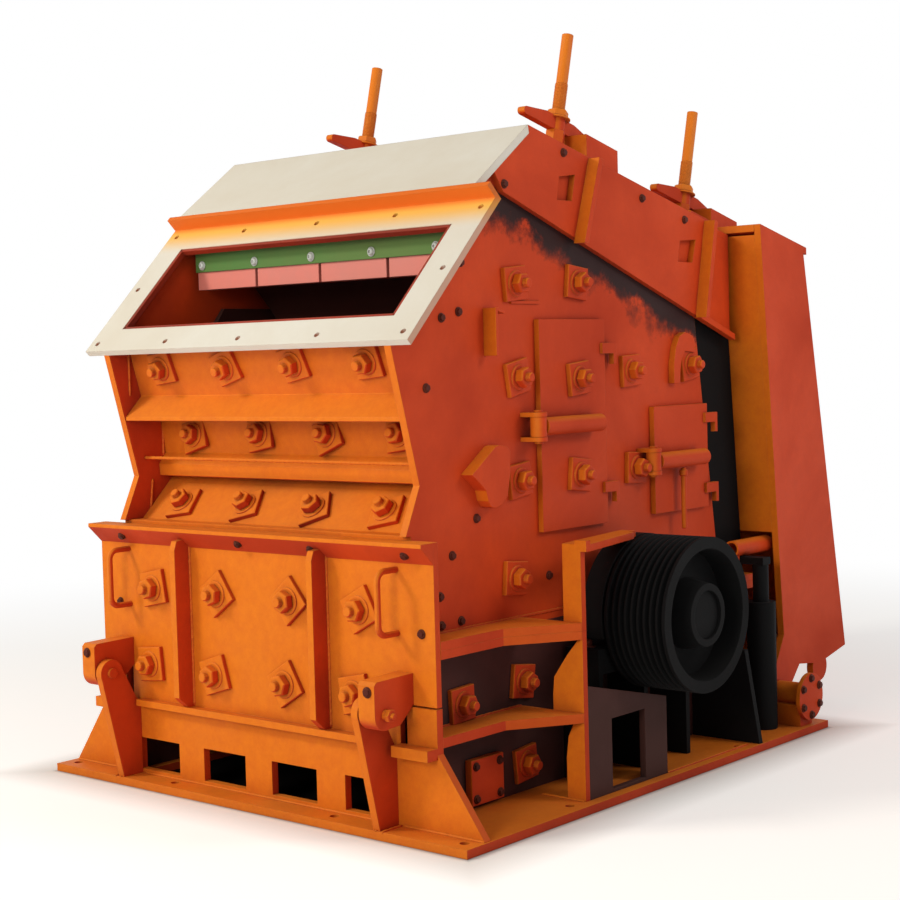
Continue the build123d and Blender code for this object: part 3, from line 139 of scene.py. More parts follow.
def floor_material():
    """Pale floor whose far part goes over into the white of the surround.

    Under the machine it is painted black without glow: painted shade under the open base, where the real
    machine discharges into a pit."""
    made = bpy.data.materials.new("studio_floor")
    made.use_nodes = True
    tree = made.node_tree
    tree.nodes.clear()
    place = node(tree, "ShaderNodeNewGeometry", (-1100, 0))
    away = node(tree, "ShaderNodeVectorMath", (-700, 0), operation="LENGTH")
    sides = node(tree, "ShaderNodeVectorMath", (-900, -500), operation="ABSOLUTE")
    parts = node(tree, "ShaderNodeSeparateXYZ", (-700, -500))
    beyond_x = node(tree, "ShaderNodeMath", (-500, -450), operation="SUBTRACT")
    beyond_x.inputs[1].default_value = SHADE_HALF_X
    beyond_y = node(tree, "ShaderNodeMath", (-500, -600), operation="SUBTRACT")
    beyond_y.inputs[1].default_value = SHADE_HALF_Y
    outside = node(tree, "ShaderNodeMath", (-300, -500), operation="MAXIMUM")
    open_floor = node(tree, "ShaderNodeMapRange", (-100, -500))
    open_floor.inputs["From Max"].default_value = GLOW_WIDTH
    open_floor.inputs["To Max"].default_value = GLOW
    far = span(tree, (-500, 0), FADE_FROM, FADE_TO, interpolation_type="SMOOTHSTEP")
    path = node(tree, "ShaderNodeLightPath", (-500, 300))
    shade = node(tree, "ShaderNodeMapRange", (-300, -650))
    shade.inputs["From Max"].default_value = SHADE_EDGE
    tone = node(tree, "ShaderNodeMix", (-300, 0), data_type="RGBA")
    tone.inputs[6].default_value = UNDER_MACHINE_SHADE
    tone.inputs[7].default_value = STUDIO_WHITE
    pale = node(tree, "ShaderNodeBsdfDiffuse", (-200, 0))
    glow = node(tree, "ShaderNodeEmission", (-200, -150), Color=(1, 1, 1, 1))
    white = node(tree, "ShaderNodeEmission", (-200, -300), Color=(1, 1, 1, 1), Strength=1.0)
    lit = node(tree, "ShaderNodeAddShader", (0, 0))
    seen = node(tree, "ShaderNodeMixShader", (200, 0))
    paled = node(tree, "ShaderNodeMixShader", (400, 0))
    out = node(tree, "ShaderNodeOutputMaterial", (600, 0))
    tree.links.new(place.outputs["Position"], away.inputs[0])
    tree.links.new(place.outputs["Position"], sides.inputs[0])
    tree.links.new(sides.outputs[0], parts.inputs[0])
    tree.links.new(parts.outputs["X"], beyond_x.inputs[0])
    tree.links.new(parts.outputs["Y"], beyond_y.inputs[0])
    tree.links.new(beyond_x.outputs[0], outside.inputs[0])
    tree.links.new(beyond_y.outputs[0], outside.inputs[1])
    tree.links.new(outside.outputs[0], open_floor.inputs["Value"])
    tree.links.new(outside.outputs[0], shade.inputs["Value"])
    tree.links.new(shade.outputs[0], tone.inputs[0])
    tree.links.new(tone.outputs[2], pale.inputs["Color"])
    tree.links.new(open_floor.outputs[0], glow.inputs["Strength"])
    tree.links.new(away.outputs["Value"], far.inputs["Value"])
    tree.links.new(pale.outputs[0], lit.inputs[0])
    tree.links.new(glow.outputs[0], lit.inputs[1])
    tree.links.new(seen_in_reflections(tree, path), seen.inputs[0])
    tree.links.new(pale.outputs[0], seen.inputs[1])
    tree.links.new(lit.outputs[0], seen.inputs[2])
    tree.links.new(far.outputs[0], paled.inputs[0])
    tree.links.new(seen.outputs[0], paled.inputs[1])
    tree.links.new(white.outputs[0], paled.inputs[2])
    tree.links.new(paled.outputs[0], out.inputs[0])
    return made


def studio_floor():
    """A wide flat disc just under the machine."""
    mesh = bpy.data.meshes.new("studio_floor")
    bm = bmesh.new()
    bmesh.ops.create_circle(bm, cap_ends=True, radius=FLOOR_RADIUS, segments=96)
    bm.to_mesh(mesh)
    bm.free()
    made = bpy.data.objects.new("studio_floor", mesh)
    bpy.context.scene.collection.objects.link(made)
    made.location.z = -FLOOR_DROP
    mesh.materials.append(floor_material())


white_world()
studio_floor()
lamp("key_lamp", (-4.0, -6.4, 6.2), 1.6, 320.0, WARM)
lamp("front_lamp", (1.7, -8.6, 3.6), 2.6, 235.0, WARM)
lamp("side_lamp", (6.6, 2.4, 5.4), 2.2, 135.0, WARMER)
bpy.context.scene.camera = photo_camera()
bpy.context.scene.view_settings.view_transform = "Standard"


# Orange paint. The whole welded housing, its doors and covers are rolled steel plate, sprayed
# with one coat of red-orange machine enamel. It is scuffed at the edges and dusty on top, with a
# lighter orange on the edges that is partly a painted highlight, corners that are soiled and
# darkened as painted shade, and a paler tone painted on the faces that look to the front and up,
# a painted highlight where the light falls.
def group(name, inputs, outputs):
    """An empty shader node group with named sockets, given as (name, kind, plain value)."""
    made = bpy.data.node_groups.new(name, "ShaderNodeTree")
    for title, kind, value in inputs:
        socket = made.interface.new_socket(title, in_out="INPUT", socket_type=kind)
        socket.default_value = value
    for title, kind in outputs:
        made.interface.new_socket(title, in_out="OUTPUT", socket_type=kind)
    made.nodes.new("NodeGroupInput").location = (-1400, 0)
    made.nodes.new("NodeGroupOutput").location = (900, 0)
    return made


def ends(tree):
    """The group's own input and output nodes."""
    return tree.nodes["Group Input"], tree.nodes["Group Output"]


FLOAT, VECTOR = "NodeSocketFloat", "NodeSocketVector"


def edge_wear_and_highlight_group():
    """A mask of the plate edges, partly scuffed paint and partly a painted highlight, and the normal of
    edges that are slightly round.
    """
    made = group(
        "edge_wear_and_highlight",
        [("Radius", FLOAT, 0.004), ("Width", FLOAT, 0.5), ("Patch Size", FLOAT, 14.0)],
        [("Mask", FLOAT), ("Normal", VECTOR)],
    )
    start, stop = ends(made)
    link = made.links.new
    soft = node(made, "ShaderNodeBevel", (-1000, 200), samples=4)
    plain = node(made, "ShaderNodeNewGeometry", (-1000, 0))
    turned = node(made, "ShaderNodeVectorMath", (-800, 100), operation="DOT_PRODUCT")
    bent = node(made, "ShaderNodeMath", (-600, 100), operation="SUBTRACT")
    bent.inputs[0].default_value = 1.0
    place = node(made, "ShaderNodeTexCoord", (-1000, -250))
    patches = node(made, "ShaderNodeTexNoise", (-800, -250), Detail=6.0, Roughness=0.65)
    broken = span(made, (-600, -250), 0.42, 0.62)
    scuffed_and_lit = node(made, "ShaderNodeMapRange", (-400, 100))
    scuffed_and_lit.inputs["From Min"].default_value = 0.03
    both = node(made, "ShaderNodeMath", (-200, 0), operation="MULTIPLY", use_clamp=True)
    link(start.outputs["Radius"], soft.inputs["Radius"])
    link(soft.outputs["Normal"], turned.inputs[0])
    link(plain.outputs["Normal"], turned.inputs[1])
    link(turned.outputs["Value"], bent.inputs[1])
    link(place.outputs["Object"], patches.inputs["Vector"])
    link(start.outputs["Patch Size"], patches.inputs["Scale"])
    link(patches.outputs["Fac"], broken.inputs["Value"])
    link(bent.outputs[0], scuffed_and_lit.inputs["Value"])
    link(start.outputs["Width"], scuffed_and_lit.inputs["From Max"])
    link(scuffed_and_lit.outputs[0], both.inputs[0])
    link(broken.outputs[0], both.inputs[1])
    link(both.outputs[0], stop.inputs["Mask"])
    link(soft.outputs["Normal"], stop.inputs["Normal"])
    return made


def grime_and_painted_light_group():
    """Masks of corners, soiled and darkened as painted shade, dust on faces that look up, patches in the
    coat, and painted light on faces that look to the front and up.
    """
    made = group(
        "grime_and_painted_light",
        [("Corner Reach", FLOAT, 0.12), ("Patch Size", FLOAT, 1.6), ("Grain Size", FLOAT, 220.0)],
        [("Corners", FLOAT), ("Dust", FLOAT), ("Patches", FLOAT), ("Grain", FLOAT),
         ("Painted Light", FLOAT), ("Mottle", FLOAT)],
    )
    start, stop = ends(made)
    link = made.links.new
    # Painted shade: the ambient occlusion darkens corners and hollows, for soiling and for the shade that
    # falls there.
    hollow = node(made, "ShaderNodeAmbientOcclusion", (-1000, 300), samples=6)
    inverse = span(made, (-800, 300), 0.85, 0.25)
    face = node(made, "ShaderNodeNewGeometry", (-1000, 0))
    parts = node(made, "ShaderNodeSeparateXYZ", (-800, 0))
    level = span(made, (-600, 0), 0.45, 1.0)
    place = node(made, "ShaderNodeTexCoord", (-1200, -300))
    patches = node(made, "ShaderNodeTexNoise", (-1000, -300), Detail=7.0, Roughness=0.6, Distortion=0.4)
    spread = span(made, (-800, -300), 0.36, 0.66)
    dusty = node(made, "ShaderNodeMath", (-400, 0), operation="MULTIPLY", use_clamp=True)
    dirty_and_shaded = node(made, "ShaderNodeMath", (-400, 300), operation="MULTIPLY", use_clamp=True)
    some = node(made, "ShaderNodeMath", (-600, 150), operation="MULTIPLY_ADD")
    some.inputs[1].default_value, some.inputs[2].default_value = 0.6, 0.4
    grain = node(made, "ShaderNodeTexNoise", (-1000, -600), Detail=3.0, Roughness=0.7)
    # Painted light: faces that look towards the lamps, to the front and up, get a paler tone.
    toward_light = node(made, "ShaderNodeVectorMath", (-800, 550), operation="DOT_PRODUCT")
    toward_light.inputs[1].default_value = (-0.12, -0.75, 0.65)
    paled = span(made, (-600, 550), 0.05, 0.75, interpolation_type="SMOOTHSTEP")
    mottle = node(made, "ShaderNodeTexNoise", (-1000, -850), Scale=26.0, Detail=5.0, Roughness=0.72)
    spots = span(made, (-800, -850), 0.35, 0.65)
    link(face.outputs["Normal"], toward_light.inputs[0])
    link(toward_light.outputs["Value"], paled.inputs["Value"])
    link(paled.outputs[0], stop.inputs["Painted Light"])
    link(place.outputs["Object"], mottle.inputs["Vector"])
    link(mottle.outputs["Fac"], spots.inputs["Value"])
    link(spots.outputs[0], stop.inputs["Mottle"])
    link(start.outputs["Corner Reach"], hollow.inputs["Distance"])
    link(hollow.outputs["AO"], inverse.inputs["Value"])
    link(face.outputs["Normal"], parts.inputs[0])
    link(parts.outputs["Z"], level.inputs["Value"])
    link(place.outputs["Object"], patches.inputs["Vector"])
    link(start.outputs["Patch Size"], patches.inputs["Scale"])
    link(patches.outputs["Fac"], spread.inputs["Value"])
    link(spread.outputs[0], some.inputs[0])
    link(level.outputs[0], dusty.inputs[0])
    link(some.outputs[0], dusty.inputs[1])
    link(inverse.outputs[0], dirty_and_shaded.inputs[0])
    link(some.outputs[0], dirty_and_shaded.inputs[1])
    link(place.outputs["Object"], grain.inputs["Vector"])
    link(start.outputs["Grain Size"], grain.inputs["Scale"])
    link(dirty_and_shaded.outputs[0], stop.inputs["Corners"])
    link(dusty.outputs[0], stop.inputs["Dust"])
    link(spread.outputs[0], stop.inputs["Patches"])
    link(grain.outputs["Fac"], stop.inputs["Grain"])
    return made


EDGE_WEAR_AND_HIGHLIGHT, GRIME_AND_PAINTED_LIGHT = edge_wear_and_highlight_group(), grime_and_painted_light_group()


def mixed(tree, place, mask, below, above, share=1.0):
    """Colour below, with colour above laid over it where the mask is."""
    mix = node(tree, "ShaderNodeMix", place, data_type="RGBA")
    if share == 1.0:
        tree.links.new(mask, mix.inputs[0])
    else:
        part = node(tree, "ShaderNodeMath", (place[0] - 160, place[1] - 120), operation="MULTIPLY")
        part.inputs[1].default_value = share
        tree.links.new(mask, part.inputs[0])
        tree.links.new(part.outputs[0], mix.inputs[0])
    for socket, colour in ((mix.inputs[6], below), (mix.inputs[7], above)):
        if isinstance(colour, tuple):
            socket.default_value = (*colour, 1.0)
        else:
            tree.links.new(colour, socket)
    return mix.outputs[2]


def painted(name, coat, second, worn_and_highlight, dust, roughness, wear_and_highlight=0.5, dirt_and_shade=0.5, dusting=0.3, grain=0.25,
            paled=None, marks=None, corner=(0.05, 0.022, 0.014), gloss=0.16):
    """A sprayed steel finish: two tones of the coat, scuffed edges that are partly a painted highlight,
    corners soiled and darkened as painted shade, and dust.

    The paler tone is painted on the faces that look to the front and up, a painted highlight where
    the light falls, and marks adds more layers of its own to the colour."""
    made = bpy.data.materials.new(name)
    made.use_nodes = True
    tree = made.node_tree
    tree.nodes.clear()
    link = tree.links.new
    edges = node(tree, "ShaderNodeGroup", (-900, 200), node_tree=EDGE_WEAR_AND_HIGHLIGHT)
    dirty_and_shaded = node(tree, "ShaderNodeGroup", (-900, -200), node_tree=GRIME_AND_PAINTED_LIGHT)
    body = mixed(tree, (-700, 100), dirty_and_shaded.outputs["Patches"], coat, second)
    # Painted light: a paler tone on the faces that look to the front and up.
    if paled:
        body = mixed(tree, (-560, 100), dirty_and_shaded.outputs["Painted Light"], body, paled)
    body = mixed(tree, (-480, 100), dirty_and_shaded.outputs["Mottle"], body, second, 0.22)
    body = mixed(tree, (-400, 100), dirty_and_shaded.outputs["Dust"], body, dust, dusting)
    # Corners darkened, partly soiling and partly painted shade.
    body = mixed(tree, (-200, 100), dirty_and_shaded.outputs["Corners"], body, corner, dirt_and_shade)
    if marks:
        body = marks(tree, body)
    # Scuffed edges in a lighter tone, partly a painted highlight along the edges.
    body = mixed(tree, (0, 100), edges.outputs["Mask"], body, worn_and_highlight, wear_and_highlight)
    bump = node(tree, "ShaderNodeBump", (0, -300), Strength=grain, Distance=0.002)
    rough = node(tree, "ShaderNodeMapRange", (0, -100))
    rough.inputs["To Min"].default_value = roughness - 0.06
    rough.inputs["To Max"].default_value = roughness + 0.12
    shade = node(tree, "ShaderNodeBsdfPrincipled", (300, 0))
    shade.inputs["Specular IOR Level"].default_value = gloss
    out = node(tree, "ShaderNodeOutputMaterial", (600, 0))
    link(body, shade.inputs["Base Color"])
    link(dirty_and_shaded.outputs["Patches"], rough.inputs["Value"])
    link(rough.outputs[0], shade.inputs["Roughness"])
    link(dirty_and_shaded.outputs["Grain"], bump.inputs["Height"])
    link(edges.outputs["Normal"], bump.inputs["Normal"])
    link(bump.outputs[0], shade.inputs["Normal"])
    link(shade.outputs[0], out.inputs[0])
    return made


def finish_nodes(material, *names):
    """Puts a material on CAD nodes."""
    for name in names:
        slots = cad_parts[name].material_slots
        for place in slots:
            place.material = material
        if not len(slots):
            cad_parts[name].data.materials.append(material)


# In this enamel the paler tone on faces that look to the front and up is a painted highlight, the lighter
# orange on the edges is partly one, and the dark corner tone is partly painted shade.
ENAMEL = dict(
    coat=(0.70, 0.068, 0.011), second=(0.52, 0.045, 0.011), worn_and_highlight=(0.86, 0.33, 0.07),
    dust=(0.80, 0.32, 0.07), roughness=0.55, wear_and_highlight=0.55, dirt_and_shade=0.7, dusting=0.25,
    paled=(0.80, 0.205, 0.010), corner=(0.15, 0.018, 0.010),
)
ORANGE = painted("orange_enamel", **ENAMEL)
finish_nodes(
    ORANGE, "base_frame", "lower_front_wall", "lower_rear_wall", "lower_rails", "upper_flanges",
    "pedestals", "guard_plates", "chin_plate", "roof_top", "roof_beams", "rod_seats", "rod_levers",
    "hinge_fins", "corner_plates", "rear_pivots", "stay_tubes", "clevises",
    "front_rods", "rear_rods", "front_door_panel", "front_door_ribs", "front_door_ears",
    "front_door_handles", "rear_sides", "rear_flange", "rear_shell", "side_door_front_right",
    "side_door_front_left", "side_door_rear_right", "side_door_rear_left",
)


# Upper side walls. Two rolled steel plates, cut to the machine's profile, welded in and painted
# like the rest. Under the roof beams a ragged band is painted black, a painted shadow of the beams.
BEAM_FOOT_SLOPE, BEAM_FOOT_HEIGHT = -0.349, 1.990
# Painted shadow: its black, how much it covers, and its least reach under the beam.
BEAM_SHADOW_BLACK, BEAM_SHADOW_COVER, BEAM_SHADOW_REACH = (0.0045, 0.004, 0.005), 0.97, 0.03


def beam_shadow_group():
    """A ragged mask along the foot of the roof beam for its painted shadow, strongest at the beam and
    reaching further down in places.
    """
    made = group("painted_beam_shadow", [("Depth", FLOAT, 0.20)], [("Mask", FLOAT)])
    start, stop = ends(made)
    link = made.links.new
    place = node(made, "ShaderNodeTexCoord", (-1200, 0))
    parts = node(made, "ShaderNodeSeparateXYZ", (-1000, 0))
    line = node(made, "ShaderNodeMath", (-800, 0), operation="MULTIPLY_ADD")
    line.inputs[1].default_value, line.inputs[2].default_value = BEAM_FOOT_SLOPE, BEAM_FOOT_HEIGHT
    below = node(made, "ShaderNodeMath", (-600, 0), operation="SUBTRACT")
    ragged = node(made, "ShaderNodeTexNoise", (-1000, -300), Scale=3.4, Detail=8.0, Roughness=0.7)
    spread = span(made, (-800, -300), 0.36, 0.62)
    reach = node(made, "ShaderNodeMath", (-600, -300), operation="MULTIPLY_ADD")
    reach.inputs[2].default_value = BEAM_SHADOW_REACH
    share = node(made, "ShaderNodeMath", (-400, 0), operation="DIVIDE")
    fall = span(made, (-200, 0), 1.0, 0.35, interpolation_type="SMOOTHSTEP")
    under = span(made, (-400, 250), -0.02, 0.0)
    both = node(made, "ShaderNodeMath", (0, 100), operation="MULTIPLY")
    link(below.outputs[0], under.inputs["Value"])
    link(fall.outputs[0], both.inputs[0])
    link(under.outputs[0], both.inputs[1])
    link(place.outputs["Object"], parts.inputs[0])
    link(place.outputs["Object"], ragged.inputs["Vector"])
    link(parts.outputs["Y"], line.inputs[0])
    link(line.outputs[0], below.inputs[0])
    link(parts.outputs["Z"], below.inputs[1])
    link(ragged.outputs["Fac"], spread.inputs["Value"])
    link(spread.outputs[0], reach.inputs[0])
    link(start.outputs["Depth"], reach.inputs[1])
    link(below.outputs[0], share.inputs[0])
    link(reach.outputs[0], share.inputs[1])
    link(share.outputs[0], fall.inputs["Value"])
    link(both.outputs[0], stop.inputs["Mask"])
    return made


BEAM_SHADOW = beam_shadow_group()


def beam_shadow_marks(tree, body):
    """Lays the painted shadow of the beam over a wall's colour."""
    band = node(tree, "ShaderNodeGroup", (-300, 400), node_tree=BEAM_SHADOW)
    return mixed(tree, (-50, 300), band.outputs["Mask"], body, BEAM_SHADOW_BLACK, BEAM_SHADOW_COVER)


WALL_PAINT = painted("wall_enamel", marks=beam_shadow_marks, **ENAMEL)
finish_nodes(WALL_PAINT, "upper_side_wall_right", "upper_side_wall_left")


# Liner bolts. The wear plates inside are held by heavy bolts right through the walls: a square
# plate washer, a round collar, a forged hexagon nut and a stub of thread, painted over together.
WASHER, WASHER_THICK = 0.122, 0.018
NUT_ACROSS, NUT_HEIGHT, NUT_EDGE = 0.066, 0.034, 0.0045
COLLAR_R, COLLAR_TOP_R, COLLAR_THICK = 0.047, 0.043, 0.006
STUD_R, STUD_OUT, THREAD = 0.018, 0.020, 0.0045
WALL_X, SIDE_DOOR_X, DOOR_FACE = 748.0, 770.5, 104.5
SOFT_EDGE = 0.0012


def at(x, y, z):
    """A place in millimetres, with y from the base plate's front edge, in metres in the frame."""
    return Vector((x, y - 1191.0, z)) / 1000.0


def facing(place, normal, turn=0.0):
    """The matrix that stands a piece on a face, with its Z along the face's normal."""
    out = Vector(normal).normalized()
    level = Vector((0, 0, 1)).cross(out)
    level = level.normalized() if level.length > 0.01 else Vector((1, 0, 0))
    stand = Matrix((level, out.cross(level), out)).transposed().to_4x4()
    return Matrix.Translation(place) @ stand @ Matrix.Rotation(turn, 4, "Z")


def turned(bm, where, sides, steps, centre=(0.0, 0.0)):
    """A closed form round the matrix's Z, from (radius, height) steps. Four sides make a square."""
    rings = []
    for radius, height in steps:
        ring = []
        for i in range(sides):
            a = math.tau * (i + 0.5) / sides
            spot = Vector((centre[0] + radius * math.cos(a), centre[1] + radius * math.sin(a), height))
            ring.append(bm.verts.new(where @ spot))
        rings.append(ring)
    for low, high in zip(rings, rings[1:]):
        for i in range(sides):
            j = (i + 1) % sides
            bm.faces.new((low[i], low[j], high[j], high[i]))
    bm.faces.new(rings[-1])
    bm.faces.new(list(reversed(rings[0])))


def nut(bm, where, across, height, low=0.0):
    """A hexagon nut with turned-off corners."""
    r = across / math.sqrt(3.0)
    cut = NUT_EDGE * across / NUT_ACROSS
    turned(bm, where, 6, [(r - cut, low), (r, low + cut), (r, low + height - cut), (r - cut, low + height)])


def thread_end(bm, where, r, low, high, pitch=THREAD):
    """The threaded end of a stud, its ridges one by one."""
    steps, z = [(r, low)], low
    while z < high - pitch:
        steps += [(r, z + pitch * 0.35), (r * 0.88, z + pitch * 0.65), (r, z + pitch)]
        z += pitch
    steps += [(r * 0.8, high)]
    turned(bm, where, 12, steps)


def wall_bolt(bm, where, turn, size=1.0):
    """Square washer, collar, nut and stud end, all as one painted-over heap."""
    plate = where @ Matrix.Rotation(turn, 4, "Z")
    half, t = WASHER * size * math.sqrt(0.5), WASHER_THICK
    turned(bm, plate, 4, [(half, -0.001), (half, t - 0.003), (half - 0.004, t)])
    r, top_r = COLLAR_R * size, COLLAR_TOP_R * size
    turned(bm, where, 24, [(r, t - 0.001), (r, t + COLLAR_THICK - 0.002), (top_r, t + COLLAR_THICK)])
    spin = where @ Matrix.Rotation(turn * 2.7 + 0.3, 4, "Z")
    seat = t + COLLAR_THICK - 0.001
    nut(bm, spin, NUT_ACROSS * size, NUT_HEIGHT, seat)
    top = seat + NUT_HEIGHT
    thread_end(bm, where, STUD_R * size, top - 0.002, top + STUD_OUT)


def piece(name, bm, material, body, rounding=0.0):
    """Closes a mesh into a piece with its material, body and slot, its edges slightly round."""
    mesh = bpy.data.meshes.new(name)
    bmesh.ops.recalc_face_normals(bm, faces=bm.faces)
    bm.to_mesh(mesh)
    bm.free()
    mesh.materials.append(material)
    made = bpy.data.objects.new(name, mesh)
    bpy.context.scene.collection.objects.link(made)
    if rounding:
        soft = made.modifiers.new("edges", "BEVEL")
        soft.width, soft.segments, soft.limit_method = rounding, 2, "ANGLE"
    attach(made, body)
    return made


BOLT_PAINT = painted("bolt_enamel", **{**ENAMEL, "dirt_and_shade": 0.85, "wear_and_highlight": 0.8})
WALL_BOLTS = [
    (711, 1862, 0.10), (1081, 1871, -0.12), (715, 1527, 0.20), (1424, 1536, 0.05), (1843, 1551, 0.15),
    (712, 1158, 0.12), (1445, 1157, -0.05), (675, 809, -0.10),
]
LOW_BOLTS = [(361, 406, 0.05), (701, 433, -0.14), (707, 133, 0.1)]
DOOR_BOLTS = [(1054, 1515, 0.1), (1047, 1157, -0.12)]

for side, hand in ((1, "right"), (-1, "left")):
    bolts, low, on_door = bmesh.new(), bmesh.new(), bmesh.new()
    for y, z, turn in WALL_BOLTS:
        wall_bolt(bolts, facing(at(side * WALL_X, y, z), (side, 0, 0)), turn * side)
    for y, z, turn in LOW_BOLTS:
        wall_bolt(low, facing(at(side * WALL_X, y, z), (side, 0, 0)), turn * side)
    for y, z, turn in DOOR_BOLTS:
        wall_bolt(on_door, facing(at(side * SIDE_DOOR_X, y, z), (side, 0, 0)), turn * side)
    piece("wall_bolts_" + hand, bolts, BOLT_PAINT, "housing", SOFT_EDGE)
    piece("low_wall_bolts_" + hand, low, BOLT_PAINT, "housing", SOFT_EDGE)
    piece("side_door_bolts_" + hand, on_door, BOLT_PAINT, "door_front_" + hand, SOFT_EDGE)


# Front wall. One long steel plate, folded back and forth and welded in between the side walls: it
# leans in under the feed, comes out to a shelf, drops back and runs out again to the door head.
FRONT_WALL_HALF = 717.5


def side_slab(bm, side, outline, low, high):
    """A plate that lies along a side wall, its outline in (y, z), low and high from x = 0."""
    x0, x1 = sorted((side * low, side * high))
    rings = [[bm.verts.new(at(x, y, z)) for y, z in outline] for x in (x0, x1)]
    count = len(outline)
    for i in range(count):
        j = (i + 1) % count
        bm.faces.new((rings[0][i], rings[0][j], rings[1][j], rings[1][i]))
    bm.faces.new(rings[1])
    bm.faces.new(list(reversed(rings[0])))


def across(bm, half, outline):
    """A solid from side to side with that outline in (y, z)."""
    side_slab(bm, 1, outline, -half, half)


FOLDED = [
    (152, 1668), (205, 1488), (126, 1408), (127, 1394), (300, 1390), (318, 1262), (284, 1218),
    (288, 1172), (350, 1164), (192, 1010), (130, 1010), (130, 985), (212, 985), (386, 1155),
    (380, 1188), (314, 1190), (312, 1208), (344, 1250), (327, 1414), (168, 1418), (232, 1482),
    (178, 1668),
]
made = bmesh.new()
across(made, FRONT_WALL_HALF, FOLDED)
front = piece("folded_front_wall", made, ORANGE, "housing", 0.002)
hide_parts("front_wall")


# Front door. Heavy plate, narrower below where it swings in between the hinge fins. A slanting
# cap is folded out along its head, a foot strip runs along its lower edge, and two round-bar
# grips are welded on beside the ribs.
DOOR_HALF, DOOR_FOOT_HALF, DOOR_BACK = 867.0, 700.0, 129.5
DOOR_LOW, DOOR_SHOULDER, DOOR_TOP = 298, 447, 997
CAP_HALF, FOOT_STRIP_HALF = 868.5, 640
GRIP_LOW, GRIP_HIGH, GRIP_OUT = 685.0, 900.0, 95.0


def grip(bm, x, low, high, out, r=11.0, bend=34.0):
    """A round bar, bent twice, that stands off the door by out."""
    path = [(DOOR_FACE + 2, low)]
    for turn in range(7):
        a = math.pi / 2 * turn / 6
        path.append((DOOR_FACE - out + bend - bend * math.sin(a), low + bend - bend * math.cos(a)))
    for turn in range(7):
        a = math.pi / 2 * turn / 6
        path.append((DOOR_FACE - out + bend - bend * math.cos(a), high - bend + bend * math.sin(a)))
    path.append((DOOR_FACE + 2, high))
    spots = [at(x, y, z) for y, z in path]
    last = None
    for i, spot in enumerate(spots):
        along = (spots[min(i + 1, len(spots) - 1)] - spots[max(i - 1, 0)]).normalized()
        up = along.cross(Vector((1, 0, 0)))
        ring = []
        for k in range(12):
            a = math.tau * k / 12
            ring.append(bm.verts.new(spot + r / 1000 * (Vector((math.cos(a), 0, 0)) + up * math.sin(a))))
        if last:
            for k in range(12):
                bm.faces.new((last[k], last[(k + 1) % 12], ring[(k + 1) % 12], ring[k]))
        else:
            bm.faces.new(list(reversed(ring)))
        last = ring
    bm.faces.new(last)


made = bmesh.new()
outline = [
    (-DOOR_HALF, DOOR_SHOULDER), (-DOOR_HALF, DOOR_TOP), (DOOR_HALF, DOOR_TOP), (DOOR_HALF, DOOR_SHOULDER),
    (DOOR_FOOT_HALF, DOOR_SHOULDER), (DOOR_FOOT_HALF, DOOR_LOW),
    (-DOOR_FOOT_HALF, DOOR_LOW), (-DOOR_FOOT_HALF, DOOR_SHOULDER),
]
rings = [[made.verts.new(at(x, y, z)) for x, z in outline] for y in (DOOR_FACE, DOOR_BACK)]
for i in range(8):
    j = (i + 1) % 8
    made.faces.new((rings[0][i], rings[0][j], rings[1][j], rings[1][i]))
made.faces.new(rings[1])
made.faces.new(list(reversed(rings[0])))
across(made, CAP_HALF, [(DOOR_FACE + 1, 996.5), (44, 996.5), (43, 995), (43, 983), (DOOR_FACE + 1, 921)])
foot_strip = [(DOOR_FACE + 1, DOOR_LOW), (64.5, DOOR_LOW), (64.5, 323), (DOOR_FACE + 1, 323)]
across(made, FOOT_STRIP_HALF, foot_strip)
door = piece("door_plate", made, ORANGE, "front_door", 0.003)
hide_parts("front_door_panel")
made = bmesh.new()
for x in (-DOOR_FOOT_HALF, DOOR_FOOT_HALF):
    grip(made, x, GRIP_LOW, GRIP_HIGH, GRIP_OUT)
grips = piece("door_grips", made, ORANGE, "front_door")
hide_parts("front_door_handles")


# Front bolts. The same liner bolts in three rows of four up the stepped front wall, and two rows
# on the front door, their washers turned every way as the fitter left them.
STEP_BOLTS = [(-535, 1597, 0.12), (-175, 1594, 0.28), (182, 1600, 0.2), (542, 1602, 0.1)]
WAIST_BOLTS = [(-517, 1330, 0.3), (-148, 1336, 0.2), (206, 1338, 0.42), (560, 1342, 0.15)]
SLOPE_BOLTS = [(-528, 1064, 0.2), (-176, 1066, 0.35), (186, 1066, 0.5), (533, 1068, 0.3)]
PANEL_BOLTS = [
    (-548, 757, 0.2), (-188, 758, 0.62), (190, 759, 0.7), (536, 753, 0.5),
    (-578, 462, 0.1), (-214, 454, 0.3), (160, 458, 0.55), (502, 458, 0.2),
]
STEP_OUT, WAIST_OUT, SLOPE_OUT = (0, -0.959, -0.283), (0, -1, 0.14), (0, -0.698, 0.716)
WAIST_Y, DOOR_BOLT_SIZE = 309, 1.06


def on_fold(first, second, z):
    """How far back the front wall's face is at that height, between two points of its outline."""
    (y0, z0), (y1, z1) = first, second
    return y0 + (z - z0) * (y1 - y0) / (z1 - z0)


